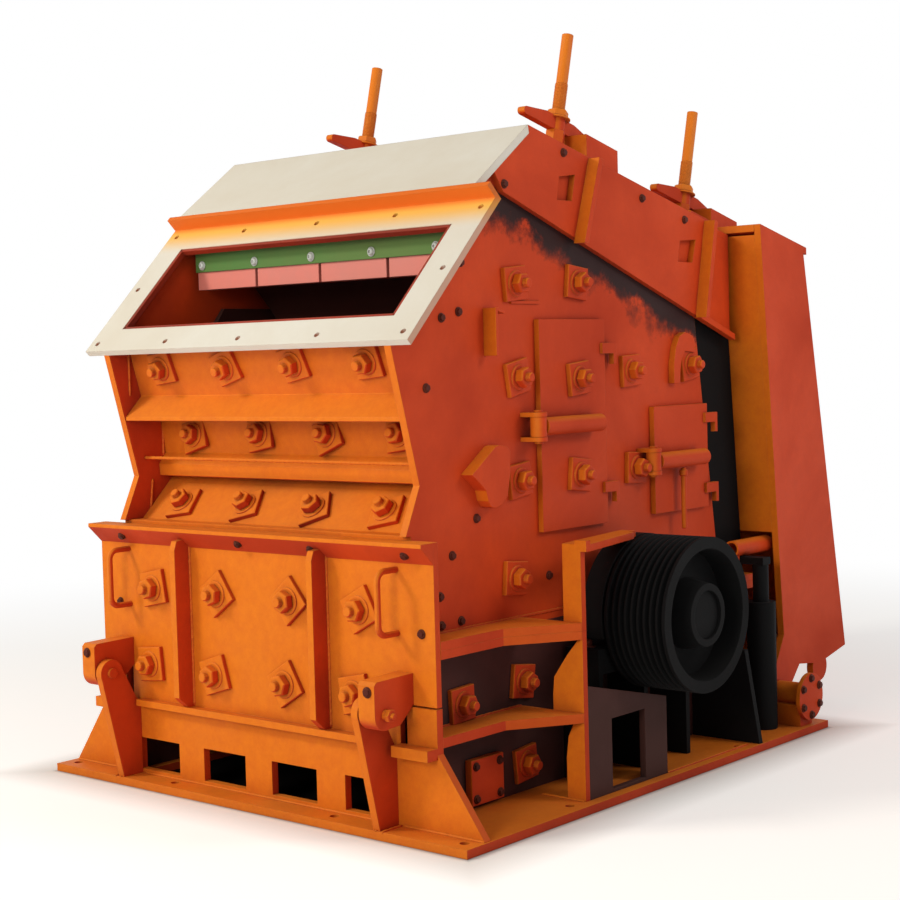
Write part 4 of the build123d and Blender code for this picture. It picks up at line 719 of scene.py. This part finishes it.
rows = bmesh.new()
for x, z, turn in STEP_BOLTS:
    wall_bolt(rows, facing(at(x, on_fold(FOLDED[0], FOLDED[1], z), z), STEP_OUT), turn)
for x, z, turn in WAIST_BOLTS:
    wall_bolt(rows, facing(at(x, WAIST_Y, z), WAIST_OUT), turn)
for x, z, turn in SLOPE_BOLTS:
    wall_bolt(rows, facing(at(x, on_fold(FOLDED[9], FOLDED[8], z), z), SLOPE_OUT), turn)
piece("front_wall_bolts", rows, BOLT_PAINT, "housing", SOFT_EDGE)
rows = bmesh.new()
for x, z, turn in PANEL_BOLTS:
    wall_bolt(rows, facing(at(x, DOOR_FACE, z), (0, -1, 0)), turn, DOOR_BOLT_SIZE)
piece("front_door_bolts", rows, BOLT_PAINT, "front_door", SOFT_EDGE)


# Small studs. Plain steel hexagon screws with a washer under the head, screwed in through the
# walls to hold the liners' edges, and into the door's cap. Most are dark with grease.
def small_screw(bm, where, wide=0.023, height=0.012):
    """A small hexagon head on a plain washer."""
    turned(bm, where, 20, [(wide * 0.72, -0.001), (wide * 0.72, 0.003), (wide * 0.66, 0.004)])
    r = wide / math.sqrt(3.0)
    turned(bm, where, 6, [(r, 0.0035), (r, height - 0.002), (r * 0.86, height)])


DARK_BOLT = painted(
    "greasy_steel",
    coat=(0.11, 0.016, 0.008), second=(0.05, 0.010, 0.007), worn_and_highlight=(0.45, 0.12, 0.04),
    dust=(0.3, 0.08, 0.03), roughness=0.55, wear_and_highlight=0.8, dirt_and_shade=0.6, dusting=0.3,
)
WALL_SCREWS = [
    (424, 1931), (315, 1740), (406, 1761), (227, 1503), (475, 1041), (339, 924), (270, 790),
    (883, 796), (378, 694), (274, 690),
]
BEAM_SCREWS = [(645, 2210), (998, 2345), (1503, 2205), (1803, 2135)]
BEAM_X, CAP_OUT, CAP_SCREW_SPOT = 773.0, (0, -0.716, -0.698), (73, 953)
for side, hand in ((1, "right"), (-1, "left")):
    screws = bmesh.new()
    for y, z in WALL_SCREWS:
        small_screw(screws, facing(at(side * WALL_X, y, z), (side, 0, 0), y * 0.37))
    for y, z in BEAM_SCREWS:
        small_screw(screws, facing(at(side * BEAM_X, y, z), (side, 0, 0), y * 0.37))
    piece("wall_screws_" + hand, screws, DARK_BOLT, "housing")
screws = bmesh.new()
for x in (-700, -42, 330, 769):
    small_screw(screws, facing(at(x, *CAP_SCREW_SPOT), CAP_OUT, x * 0.11))
for x in (-760, 808):
    small_screw(screws, facing(at(x, DOOR_FACE, 690), (0, -1, 0), x * 0.11))
piece("front_door_screws", screws, DARK_BOLT, "front_door")


# Wall brackets. Folded and flame-cut steel plates, welded to each side wall: an angle that carried
# a guard, a slanting lug with a round foot, the arched lug below the beam and a thin drip strip.
ANGLE_LEG = [(540, 1606), (552, 1606), (552, 1762), (590, 1752), (592, 1762), (560, 1774), (540, 1774)]
SLANT_LUG = [
    (396, 1199), (528, 1290), (546, 1294), (596, 1286), (612, 1268), (606, 1190), (590, 1112),
    (556, 1082), (522, 1074), (498, 1080), (482, 1102), (470, 1140), (432, 1172),
]
ARCHED_LUG = [
    (1704, 1478), (1706, 1560), (1722, 1624), (1750, 1668), (1790, 1684), (1846, 1668), (1862, 1640),
    (1862, 1600), (1822, 1604), (1788, 1606), (1766, 1580), (1752, 1530), (1748, 1478),
]
DRIP_STRIP = [(690, 1790), (690, 1802), (860, 1802), (860, 1790)]
for side, hand in ((1, "right"), (-1, "left")):
    made = bmesh.new()
    side_slab(made, side, ANGLE_LEG, WALL_X - 1, 806)
    side_slab(made, side, SLANT_LUG, WALL_X - 1, 800)
    side_slab(made, side, ARCHED_LUG, WALL_X - 1, 775)
    side_slab(made, side, DRIP_STRIP, WALL_X - 1, 756)
    piece("wall_brackets_" + hand, made, BOLT_PAINT, "housing", 0.002)


# Lower recesses. The steel wall between the bearer rails is painted a dark maroon, a painted shade
# for the recesses. A small inspection cover of plate is screwed over a hole beside the front strut.
RECESS_SHADE_PAINT = painted(
    "maroon_painted_shade",
    coat=(0.085, 0.022, 0.018), second=(0.05, 0.018, 0.016), worn_and_highlight=(0.42, 0.09, 0.03),
    dust=(0.16, 0.06, 0.04), roughness=0.6, wear_and_highlight=0.5, dirt_and_shade=0.8, dusting=0.4, corner=(0.01, 0.009, 0.009),
)
finish_nodes(RECESS_SHADE_PAINT, "lower_side_walls")
COVER, COVER_FACE = [(378, 44), (556, 44), (556, 206), (378, 206)], 778
COVER_SCREWS = ((402, 182), (532, 182), (402, 68), (532, 68))
for side, hand in ((1, "right"), (-1, "left")):
    made = bmesh.new()
    side_slab(made, side, COVER, WALL_X - 1, COVER_FACE)
    piece("inspection_cover_" + hand, made, BOLT_PAINT, "housing", 0.004)
    screws = bmesh.new()
    for y, z in COVER_SCREWS:
        small_screw(screws, facing(at(side * COVER_FACE, y, z), (side, 0, 0), y), 0.022, 0.011)
    piece("inspection_cover_screws_" + hand, screws, DARK_BOLT, "housing")


# Feed flange and roof front. The steel flange that the feed chute bolts to and the sloped plate
# behind it, welded on and painted cream. Orange overspray lies on the upper lip, and below it a
# yellow band is painted in, a painted reflection of light off the lip. Faces that look to the
# sides are a darker orange-brown.
LIP_REFLECTION_YELLOW, LIP_SPRAY, FLANK_TONE = (0.90, 0.50, 0.07), (0.78, 0.15, 0.014), (0.55, 0.15, 0.04)


def lip_paint_and_reflection_marks(tree, body):
    """Orange on the lip that stands across the flange, a painted reflection of it in yellow below, and a
    darker tone on faces that look to the sides.
    """
    place = node(tree, "ShaderNodeTexCoord", (-900, 600))
    parts = node(tree, "ShaderNodeSeparateXYZ", (-700, 600))
    fade = span(tree, (-500, 600), 2.045, 2.13, interpolation_type="SMOOTHSTEP")
    lip = span(tree, (-500, 800), 2.125, 2.16, interpolation_type="SMOOTHSTEP")
    face = node(tree, "ShaderNodeNewGeometry", (-900, 400))
    turn = node(tree, "ShaderNodeSeparateXYZ", (-700, 400))
    flank = node(tree, "ShaderNodeMath", (-500, 400), operation="ABSOLUTE")
    edge = span(tree, (-300, 400), 0.6, 0.9)
    tree.links.new(place.outputs["Object"], parts.inputs[0])
    tree.links.new(parts.outputs["Z"], fade.inputs["Value"])
    tree.links.new(parts.outputs["Z"], lip.inputs["Value"])
    tree.links.new(face.outputs["Normal"], turn.inputs[0])
    tree.links.new(turn.outputs["X"], flank.inputs[0])
    tree.links.new(flank.outputs[0], edge.inputs["Value"])
    # Painted reflection: the yellow band below the lip.
    body = mixed(tree, (-250, 600), fade.outputs[0], body, LIP_REFLECTION_YELLOW, 0.95)
    body = mixed(tree, (-100, 600), lip.outputs[0], body, LIP_SPRAY, 0.97)
    return mixed(tree, (50, 600), edge.outputs[0], body, FLANK_TONE, 0.6)


CREAM_COAT = dict(
    coat=(0.80, 0.765, 0.69), second=(0.74, 0.68, 0.585), worn_and_highlight=(0.62, 0.30, 0.10),
    dust=(0.78, 0.70, 0.56), roughness=0.6, wear_and_highlight=0.6, dirt_and_shade=0.6, dusting=0.25, corner=(0.42, 0.13, 0.05),
)
finish_nodes(painted("flange_enamel", marks=lip_paint_and_reflection_marks, **CREAM_COAT), "feed_flange")
CREAM = painted("cream_enamel", **CREAM_COAT)
finish_nodes(CREAM, "roof_front")

SLOPE = math.radians(45.6)
FLANGE_FOOT_Y, FLANGE_FOOT_Z = 39.0, 1666.0


def up_slope(x, along, out=0.0):
    """A place on the flange: x across, along up its slope from its lower edge, out of its face."""
    y = FLANGE_FOOT_Y + along * math.cos(SLOPE) - out * math.sin(SLOPE)
    z = FLANGE_FOOT_Z + along * math.sin(SLOPE) + out * math.cos(SLOPE)
    return at(x, y, z)


MOUTH_LINER = painted(
    "maroon_liner",
    coat=(0.42, 0.038, 0.012), second=(0.22, 0.022, 0.012), worn_and_highlight=(0.6, 0.3, 0.2),
    dust=(0.4, 0.14, 0.08), roughness=0.55, wear_and_highlight=0.6, dirt_and_shade=0.8, dusting=0.3, corner=(0.02, 0.01, 0.01),
)
frame_in = bmesh.new()
OPEN_X, OPEN_LOW, OPEN_HIGH, BAND = 710.0, 116.0, 560.0, 13.0
BAND_BACK, BAND_FRONT = -24.0, -2.0
for x0, x1, s0, s1 in (
    (-OPEN_X, OPEN_X, OPEN_LOW, OPEN_LOW + BAND), (-OPEN_X, OPEN_X, OPEN_HIGH - BAND, OPEN_HIGH),
    (-OPEN_X, -OPEN_X + BAND, OPEN_LOW, OPEN_HIGH), (OPEN_X - BAND, OPEN_X, OPEN_LOW, OPEN_HIGH),
):
    corners = [(x0, s0), (x1, s0), (x1, s1), (x0, s1)]
    rings = [
        [frame_in.verts.new(up_slope(x, s, out)) for x, s in corners] for out in (BAND_BACK, BAND_FRONT)
    ]
    for i in range(4):
        j = (i + 1) % 4
        frame_in.faces.new((rings[0][i], rings[0][j], rings[1][j], rings[1][i]))
    frame_in.faces.new(rings[1])
    frame_in.faces.new(list(reversed(rings[0])))
piece("mouth_liner", frame_in, MOUTH_LINER, "housing", 0.001)


# Feed curtain. A green steel bar with five round-headed bolts holds four red rubber blocks, which
# swing back under the feed and stop stones from flying out.
GREEN = painted(
    "green_enamel",
    coat=(0.085, 0.225, 0.055), second=(0.14, 0.21, 0.06), worn_and_highlight=(0.35, 0.36, 0.2),
    dust=(0.30, 0.33, 0.17), roughness=0.55, wear_and_highlight=0.5, dirt_and_shade=0.5, dusting=0.3, corner=(0.05, 0.03, 0.015),
)
finish_nodes(GREEN, "curtain_bar")
RED = painted(
    "red_rubber",
    coat=(0.86, 0.24, 0.19), second=(0.70, 0.26, 0.22), worn_and_highlight=(0.80, 0.50, 0.45),
    dust=(0.5, 0.25, 0.2), roughness=0.7, wear_and_highlight=0.5, dirt_and_shade=0.6, dusting=0.3, corner=(0.12, 0.03, 0.02),
)
finish_nodes(RED, "curtain_blocks")
ZINC = painted(
    "zinc_heads",
    coat=(0.72, 0.74, 0.72), second=(0.6, 0.62, 0.58), worn_and_highlight=(0.85, 0.85, 0.83),
    dust=(0.6, 0.6, 0.5), roughness=0.35, wear_and_highlight=0.5, dirt_and_shade=0.5, dusting=0.2, corner=(0.05, 0.05, 0.04),
)
CURTAIN_HALF, CURTAIN_FACE = 690, 486
CURTAIN_PROFILE = [
    (CURTAIN_FACE, 1972), (CURTAIN_FACE, 2078), (494, 2078), (501, 2070), (501, 1976), (493.5, 1972),
]
ROUND_HEAD = [
    (0.018, -0.001), (0.018, 0.003), (0.0145, 0.0035), (0.013, 0.008), (0.009, 0.0115), (0.006, 0.0125),
    (0.0055, 0.0075),
]
made = bmesh.new()
across(made, CURTAIN_HALF, CURTAIN_PROFILE)
piece("curtain_face", made, GREEN, "housing", 0.001)
heads = bmesh.new()
for x in (-650, -347, -37, 274, 586):
    turned(heads, facing(at(x, CURTAIN_FACE, 1998), (0, -1, 0)), 20, ROUND_HEAD)
piece("curtain_bolts", heads, ZINC, "housing")


# Roof rods. Long turned steel rods come up through the roof and set the aprons. Each is locked by
# a lever, and carries a coarse thread and a locknut above the lever's boss.
ROOF_SLOPE = math.radians(13.8)
ROOF_EDGE_Y, ROOF_EDGE_Z, ROOF_FALL = 790, 2430, 0.2456
COLLAR_WIDE, ROD_NUT, ROD_THREAD_R, ROD_PITCH = 0.052, 0.074, 0.0262, 0.006
ROOF_OUT = Vector((0.0, math.sin(ROOF_SLOPE), math.cos(ROOF_SLOPE)))
ROD_PAINT = painted("rod_enamel", **{**ENAMEL, "coat": (0.72, 0.16, 0.016), "second": (0.74, 0.24, 0.04)})
finish_nodes(ROD_PAINT, "front_rods", "rear_rods")
for end, x, y, low in (("front", 511, 1265, 0.214), ("rear", 525, 2140, 0.184)):
    for side, hand in ((1, "right"), (-1, "left")):
        foot = at(side * x, y, ROOF_EDGE_Z - ROOF_FALL * (y - ROOF_EDGE_Y))
        where = facing(foot, ROOF_OUT, 0.4 * side)
        made = bmesh.new()
        collar = [(COLLAR_WIDE, low), (COLLAR_WIDE, low + 0.005), (COLLAR_WIDE - 0.003, low + 0.007)]
        turned(made, where, 24, collar)
        nut(made, where, ROD_NUT, 0.03, low + 0.007)
        thread_end(made, where, ROD_THREAD_R, low + 0.036, low + 0.15, ROD_PITCH)
        piece("rod_nut_%s_%s" % (end, hand), made, ROD_PAINT, "housing", 0.001)


# Black running gear. Cast bearing housings bolted to their brackets, the turned iron sheave and
# the lift cylinders in black enamel. The bearing brackets, the sheave guard, the closing plates and
# the rotor's shaft are painted black as well, a painted shade for the dark behind the sheave and in
# the gap at the rear. The plate cheeks under the sheave are dark brown, a painted shade.
BLACK_AND_SHADE = painted(
    "black_enamel_and_painted_shade",
    coat=(0.0050, 0.0050, 0.0055), second=(0.008, 0.008, 0.0085), worn_and_highlight=(0.04, 0.038, 0.036),
    dust=(0.012, 0.011, 0.010), roughness=0.7, wear_and_highlight=0.25, dirt_and_shade=0.3, dusting=0.3,
    corner=(0.003, 0.003, 0.003), gloss=0.08,
)
finish_nodes(
    BLACK_AND_SHADE, "bearings", "bearing_brackets", "lift_cylinders", "sheave", "rotor_body", "rotor_shaft",
    "sheave_guard", "closing_plates",
)
# Painted shade: the pedestal cheeks under the sheave are painted dark brown for the shade there.
CHEEK_SHADE_PAINT = painted(
    "brown_painted_shade",
    coat=(0.085, 0.030, 0.027), second=(0.060, 0.024, 0.020), worn_and_highlight=(0.30, 0.09, 0.04),
    dust=(0.12, 0.06, 0.045), roughness=0.6, wear_and_highlight=0.5, dirt_and_shade=0.6, dusting=0.3, corner=(0.01, 0.008, 0.008),
)
finish_nodes(CHEEK_SHADE_PAINT, "pedestal_cheeks")

AXIS_Y, AXIS_Z, SHEAVE_FACE = 1250, 635, 1198
HUB_RING, HUB_DEPTH, HUB_SCREW = 0.078, 0.064, 0.026
BEARING_SPREAD, BEARING_X, BEARING_FOOT = 255, 842, 520
made = bmesh.new()
face = facing(at(SHEAVE_FACE - 12, AXIS_Y, AXIS_Z), (1, 0, 0))
for k in range(6):
    a = math.tau * k / 6
    spot = face @ Matrix.Translation((HUB_RING * math.cos(a), HUB_RING * math.sin(a), -HUB_DEPTH))
    nut(made, spot @ Matrix.Rotation(a, 4, "Z"), HUB_SCREW, 0.014)
piece("sheave_hub_screws", made, BLACK_AND_SHADE, "rotor", 0.001)

for side, hand in ((1, "right"), (-1, "left")):
    made = bmesh.new()
    for dy in (-BEARING_SPREAD, BEARING_SPREAD):
        where = facing(at(side * BEARING_X, AXIS_Y + dy, BEARING_FOOT), (0, 0, 1), 0.2)
        turned(made, where, 24, [(0.034, -0.022), (0.034, -0.017), (0.032, -0.016)])
        nut(made, where, 0.046, 0.026, -0.017)
        thread_end(made, where, 0.014, 0.008, 0.03)
    piece("bearing_bolts_" + hand, made, DARK_BOLT, "housing")


# Wear parts. Cast manganese steel liners, aprons and blow bars, bolted or wedged in, and the aprons'
# shafts: rusty red-brown where the stone doesn't reach and bright where it does.
STEEL = painted(
    "wear_steel",
    coat=(0.040, 0.014, 0.012), second=(0.06, 0.018, 0.014), worn_and_highlight=(0.30, 0.26, 0.24),
    dust=(0.12, 0.07, 0.05), roughness=0.5, wear_and_highlight=0.8, dirt_and_shade=0.5, dusting=0.4, corner=(0.02, 0.012, 0.01),
)
finish_nodes(STEEL, "side_liners", "front_apron", "rear_apron", "blow_bars", "apron_shafts")


# Rear housing details. Six bolts round the end of each pivot that the rear housing tips on, and a
# thin steel oil pipe with two pale fittings that runs down beside the lift cylinder on each side.
PIVOT_FACE, PIVOT_Y, PIVOT_Z, PIVOT_RING = 1058, 2262, 150, 0.077
PIPE_X, PIPE_Y, PIPE_FOOT, PIPE_LENGTH = 868, 2157, 300, 0.262
PIPE_R, SLEEVE_R, SLEEVE_LENGTH = 0.007, 0.010, 0.018
for side, hand in ((1, "right"), (-1, "left")):
    made = bmesh.new()
    flange = facing(at(side * PIVOT_FACE, PIVOT_Y, PIVOT_Z), (side, 0, 0))
    for k in range(6):
        a = math.tau * (k + 0.5) / 6
        spot = flange @ Matrix.Translation((PIVOT_RING * math.cos(a), PIVOT_RING * math.sin(a), 0.0))
        small_screw(made, spot @ Matrix.Rotation(a, 4, "Z"), 0.024, 0.012)
    piece("pivot_screws_" + hand, made, DARK_BOLT, "housing")

    pipe = bmesh.new()
    foot = facing(at(side * PIPE_X, PIPE_Y, PIPE_FOOT), (0, 0, 1))
    turned(pipe, foot, 14, [(PIPE_R, 0.0), (PIPE_R, PIPE_LENGTH)])
    for low in (0.05, 0.21):
        turned(pipe, foot, 14, [
            (SLEEVE_R - 0.001, low), (SLEEVE_R, low + 0.002),
            (SLEEVE_R, low + SLEEVE_LENGTH - 0.002), (SLEEVE_R - 0.001, low + SLEEVE_LENGTH),
        ])
    piece("oil_pipe_" + hand, pipe, ZINC, "housing")
    fitting = bmesh.new()
    nut(fitting, foot, 0.026, 0.03, -0.022)
    turned(fitting, foot, 14, [(0.009, -0.034), (0.009, -0.02)])
    piece("oil_fitting_" + hand, fitting, ZINC, "housing", 0.001)


# Door hardware. Each rear side door has a round steel drop bar that hangs from its arm's barrel.
# Each hinge ear of the front door has a greasing screw in its nose and a nut on its pin's end.
DROP_BAR_X, DROP_BAR_Y, DROP_BAR_FOOT = 803, 1715, 895
EAR_X, EAR_NOSE_Y, EAR_SCREW_Z = 733, -87, 518
PIN_END_X, PIN_Y, PIN_Z = 776, -35, 438
for side, hand in ((1, "right"), (-1, "left")):
    made = bmesh.new()
    foot = facing(at(side * DROP_BAR_X, DROP_BAR_Y, DROP_BAR_FOOT), (0, 0, 1))
    turned(made, foot, 16, [(0.008, 0.0), (0.011, 0.004), (0.011, 0.24), (0.009, 0.245)])
    turned(made, foot, 16, [(0.014, 0.212), (0.017, 0.216), (0.017, 0.234), (0.014, 0.238)])
    piece("drop_bar_" + hand, made, ORANGE, "door_rear_" + hand)
    made = bmesh.new()
    small_screw(made, facing(at(side * EAR_X, EAR_NOSE_Y, EAR_SCREW_Z), (0, -1, 0), 0.3), 0.026, 0.010)
    piece("ear_grease_screw_" + hand, made, DARK_BOLT, "front_door")
    made = bmesh.new()
    end = facing(at(side * PIN_END_X, PIN_Y, PIN_Z), (side, 0, 0), 0.4)
    nut(made, end, 0.040, 0.018, -0.001)
    turned(made, end, 20, [(0.010, 0.016), (0.010, 0.026), (0.007, 0.029)])
    piece("hinge_pin_nut_" + hand, made, BOLT_PAINT, "housing", 0.001)


# Weld beads. Every plate joint that shows has a rippled fillet, laid by hand and painted over.
BEAD_R, BEAD_PITCH = 0.0065, 0.011


def bead(bm, start, end):
    """A rippled round bead between two places, half of it sunk in the corner it fills."""
    along = (end - start).normalized()
    side = along.orthogonal().normalized()
    other = along.cross(side)
    count = max(2, int((end - start).length / BEAD_PITCH))
    last = None
    for i in range(count + 1):
        r = BEAD_R * (0.55 if i in (0, count) else 0.88 + 0.16 * (i % 2) + 0.08 * math.sin(i * 1.7))
        centre = start.lerp(end, i / count)
        ring = []
        for k in range(6):
            a = math.tau * k / 6
            ring.append(bm.verts.new(centre + r * (side * math.cos(a) + other * math.sin(a))))
        if last:
            for k in range(6):
                j = (k + 1) % 6
                bm.faces.new((last[k], last[j], ring[j], ring[k]))
        else:
            bm.faces.new(list(reversed(ring)))
        last = ring
    bm.faces.new(last)


def both_sides(bm, runs):
    """The same beads on the right and, mirrored, on the left."""
    for side in (1, -1):
        for (x0, y0, z0), (x1, y1, z1) in runs:
            bead(bm, at(side * x0, y0, z0), at(side * x1, y1, z1))


made = bmesh.new()
both_sides(made, [
    ((748, 150, 665), (748, 2170, 665)), ((748, 135, 344), (748, 700, 344)),
    ((748, 135, 310), (748, 700, 310)), ((748, 135, 605), (748, 700, 605)),
    ((700, 100, 30), (700, -2, 30)), ((670, 0, 30), (670, 98, 30)),
    ((705, 100, 30), (1060, 100, 30)), ((830, 705, 30), (1020, 705, 30)),
    ((1025, 1225, 30), (1025, 1800, 30)), ((718, 152, 1660), (718, 152, 1490)),
    ((718, 310, 1405), (718, 310, 1250)), ((718, 250, 1160), (718, 232, 1015)),
])
bead(made, at(-640, 100, 30), at(640, 100, 30))
bead(made, at(-718, 215, 1246), at(718, 215, 1246))
piece("housing_welds", made, BOLT_PAINT, "housing")
made = bmesh.new()
for x in (-373, -345, 345, 373):
    bead(made, at(x, DOOR_FACE, 326), at(x, DOOR_FACE, 956))
both_sides(made, [
    ((0, DOOR_FACE, 316), (640, DOOR_FACE, 316)), ((0, DOOR_FACE, 966), (860, DOOR_FACE, 966)),
])
piece("front_door_welds", made, BOLT_PAINT, "front_door")
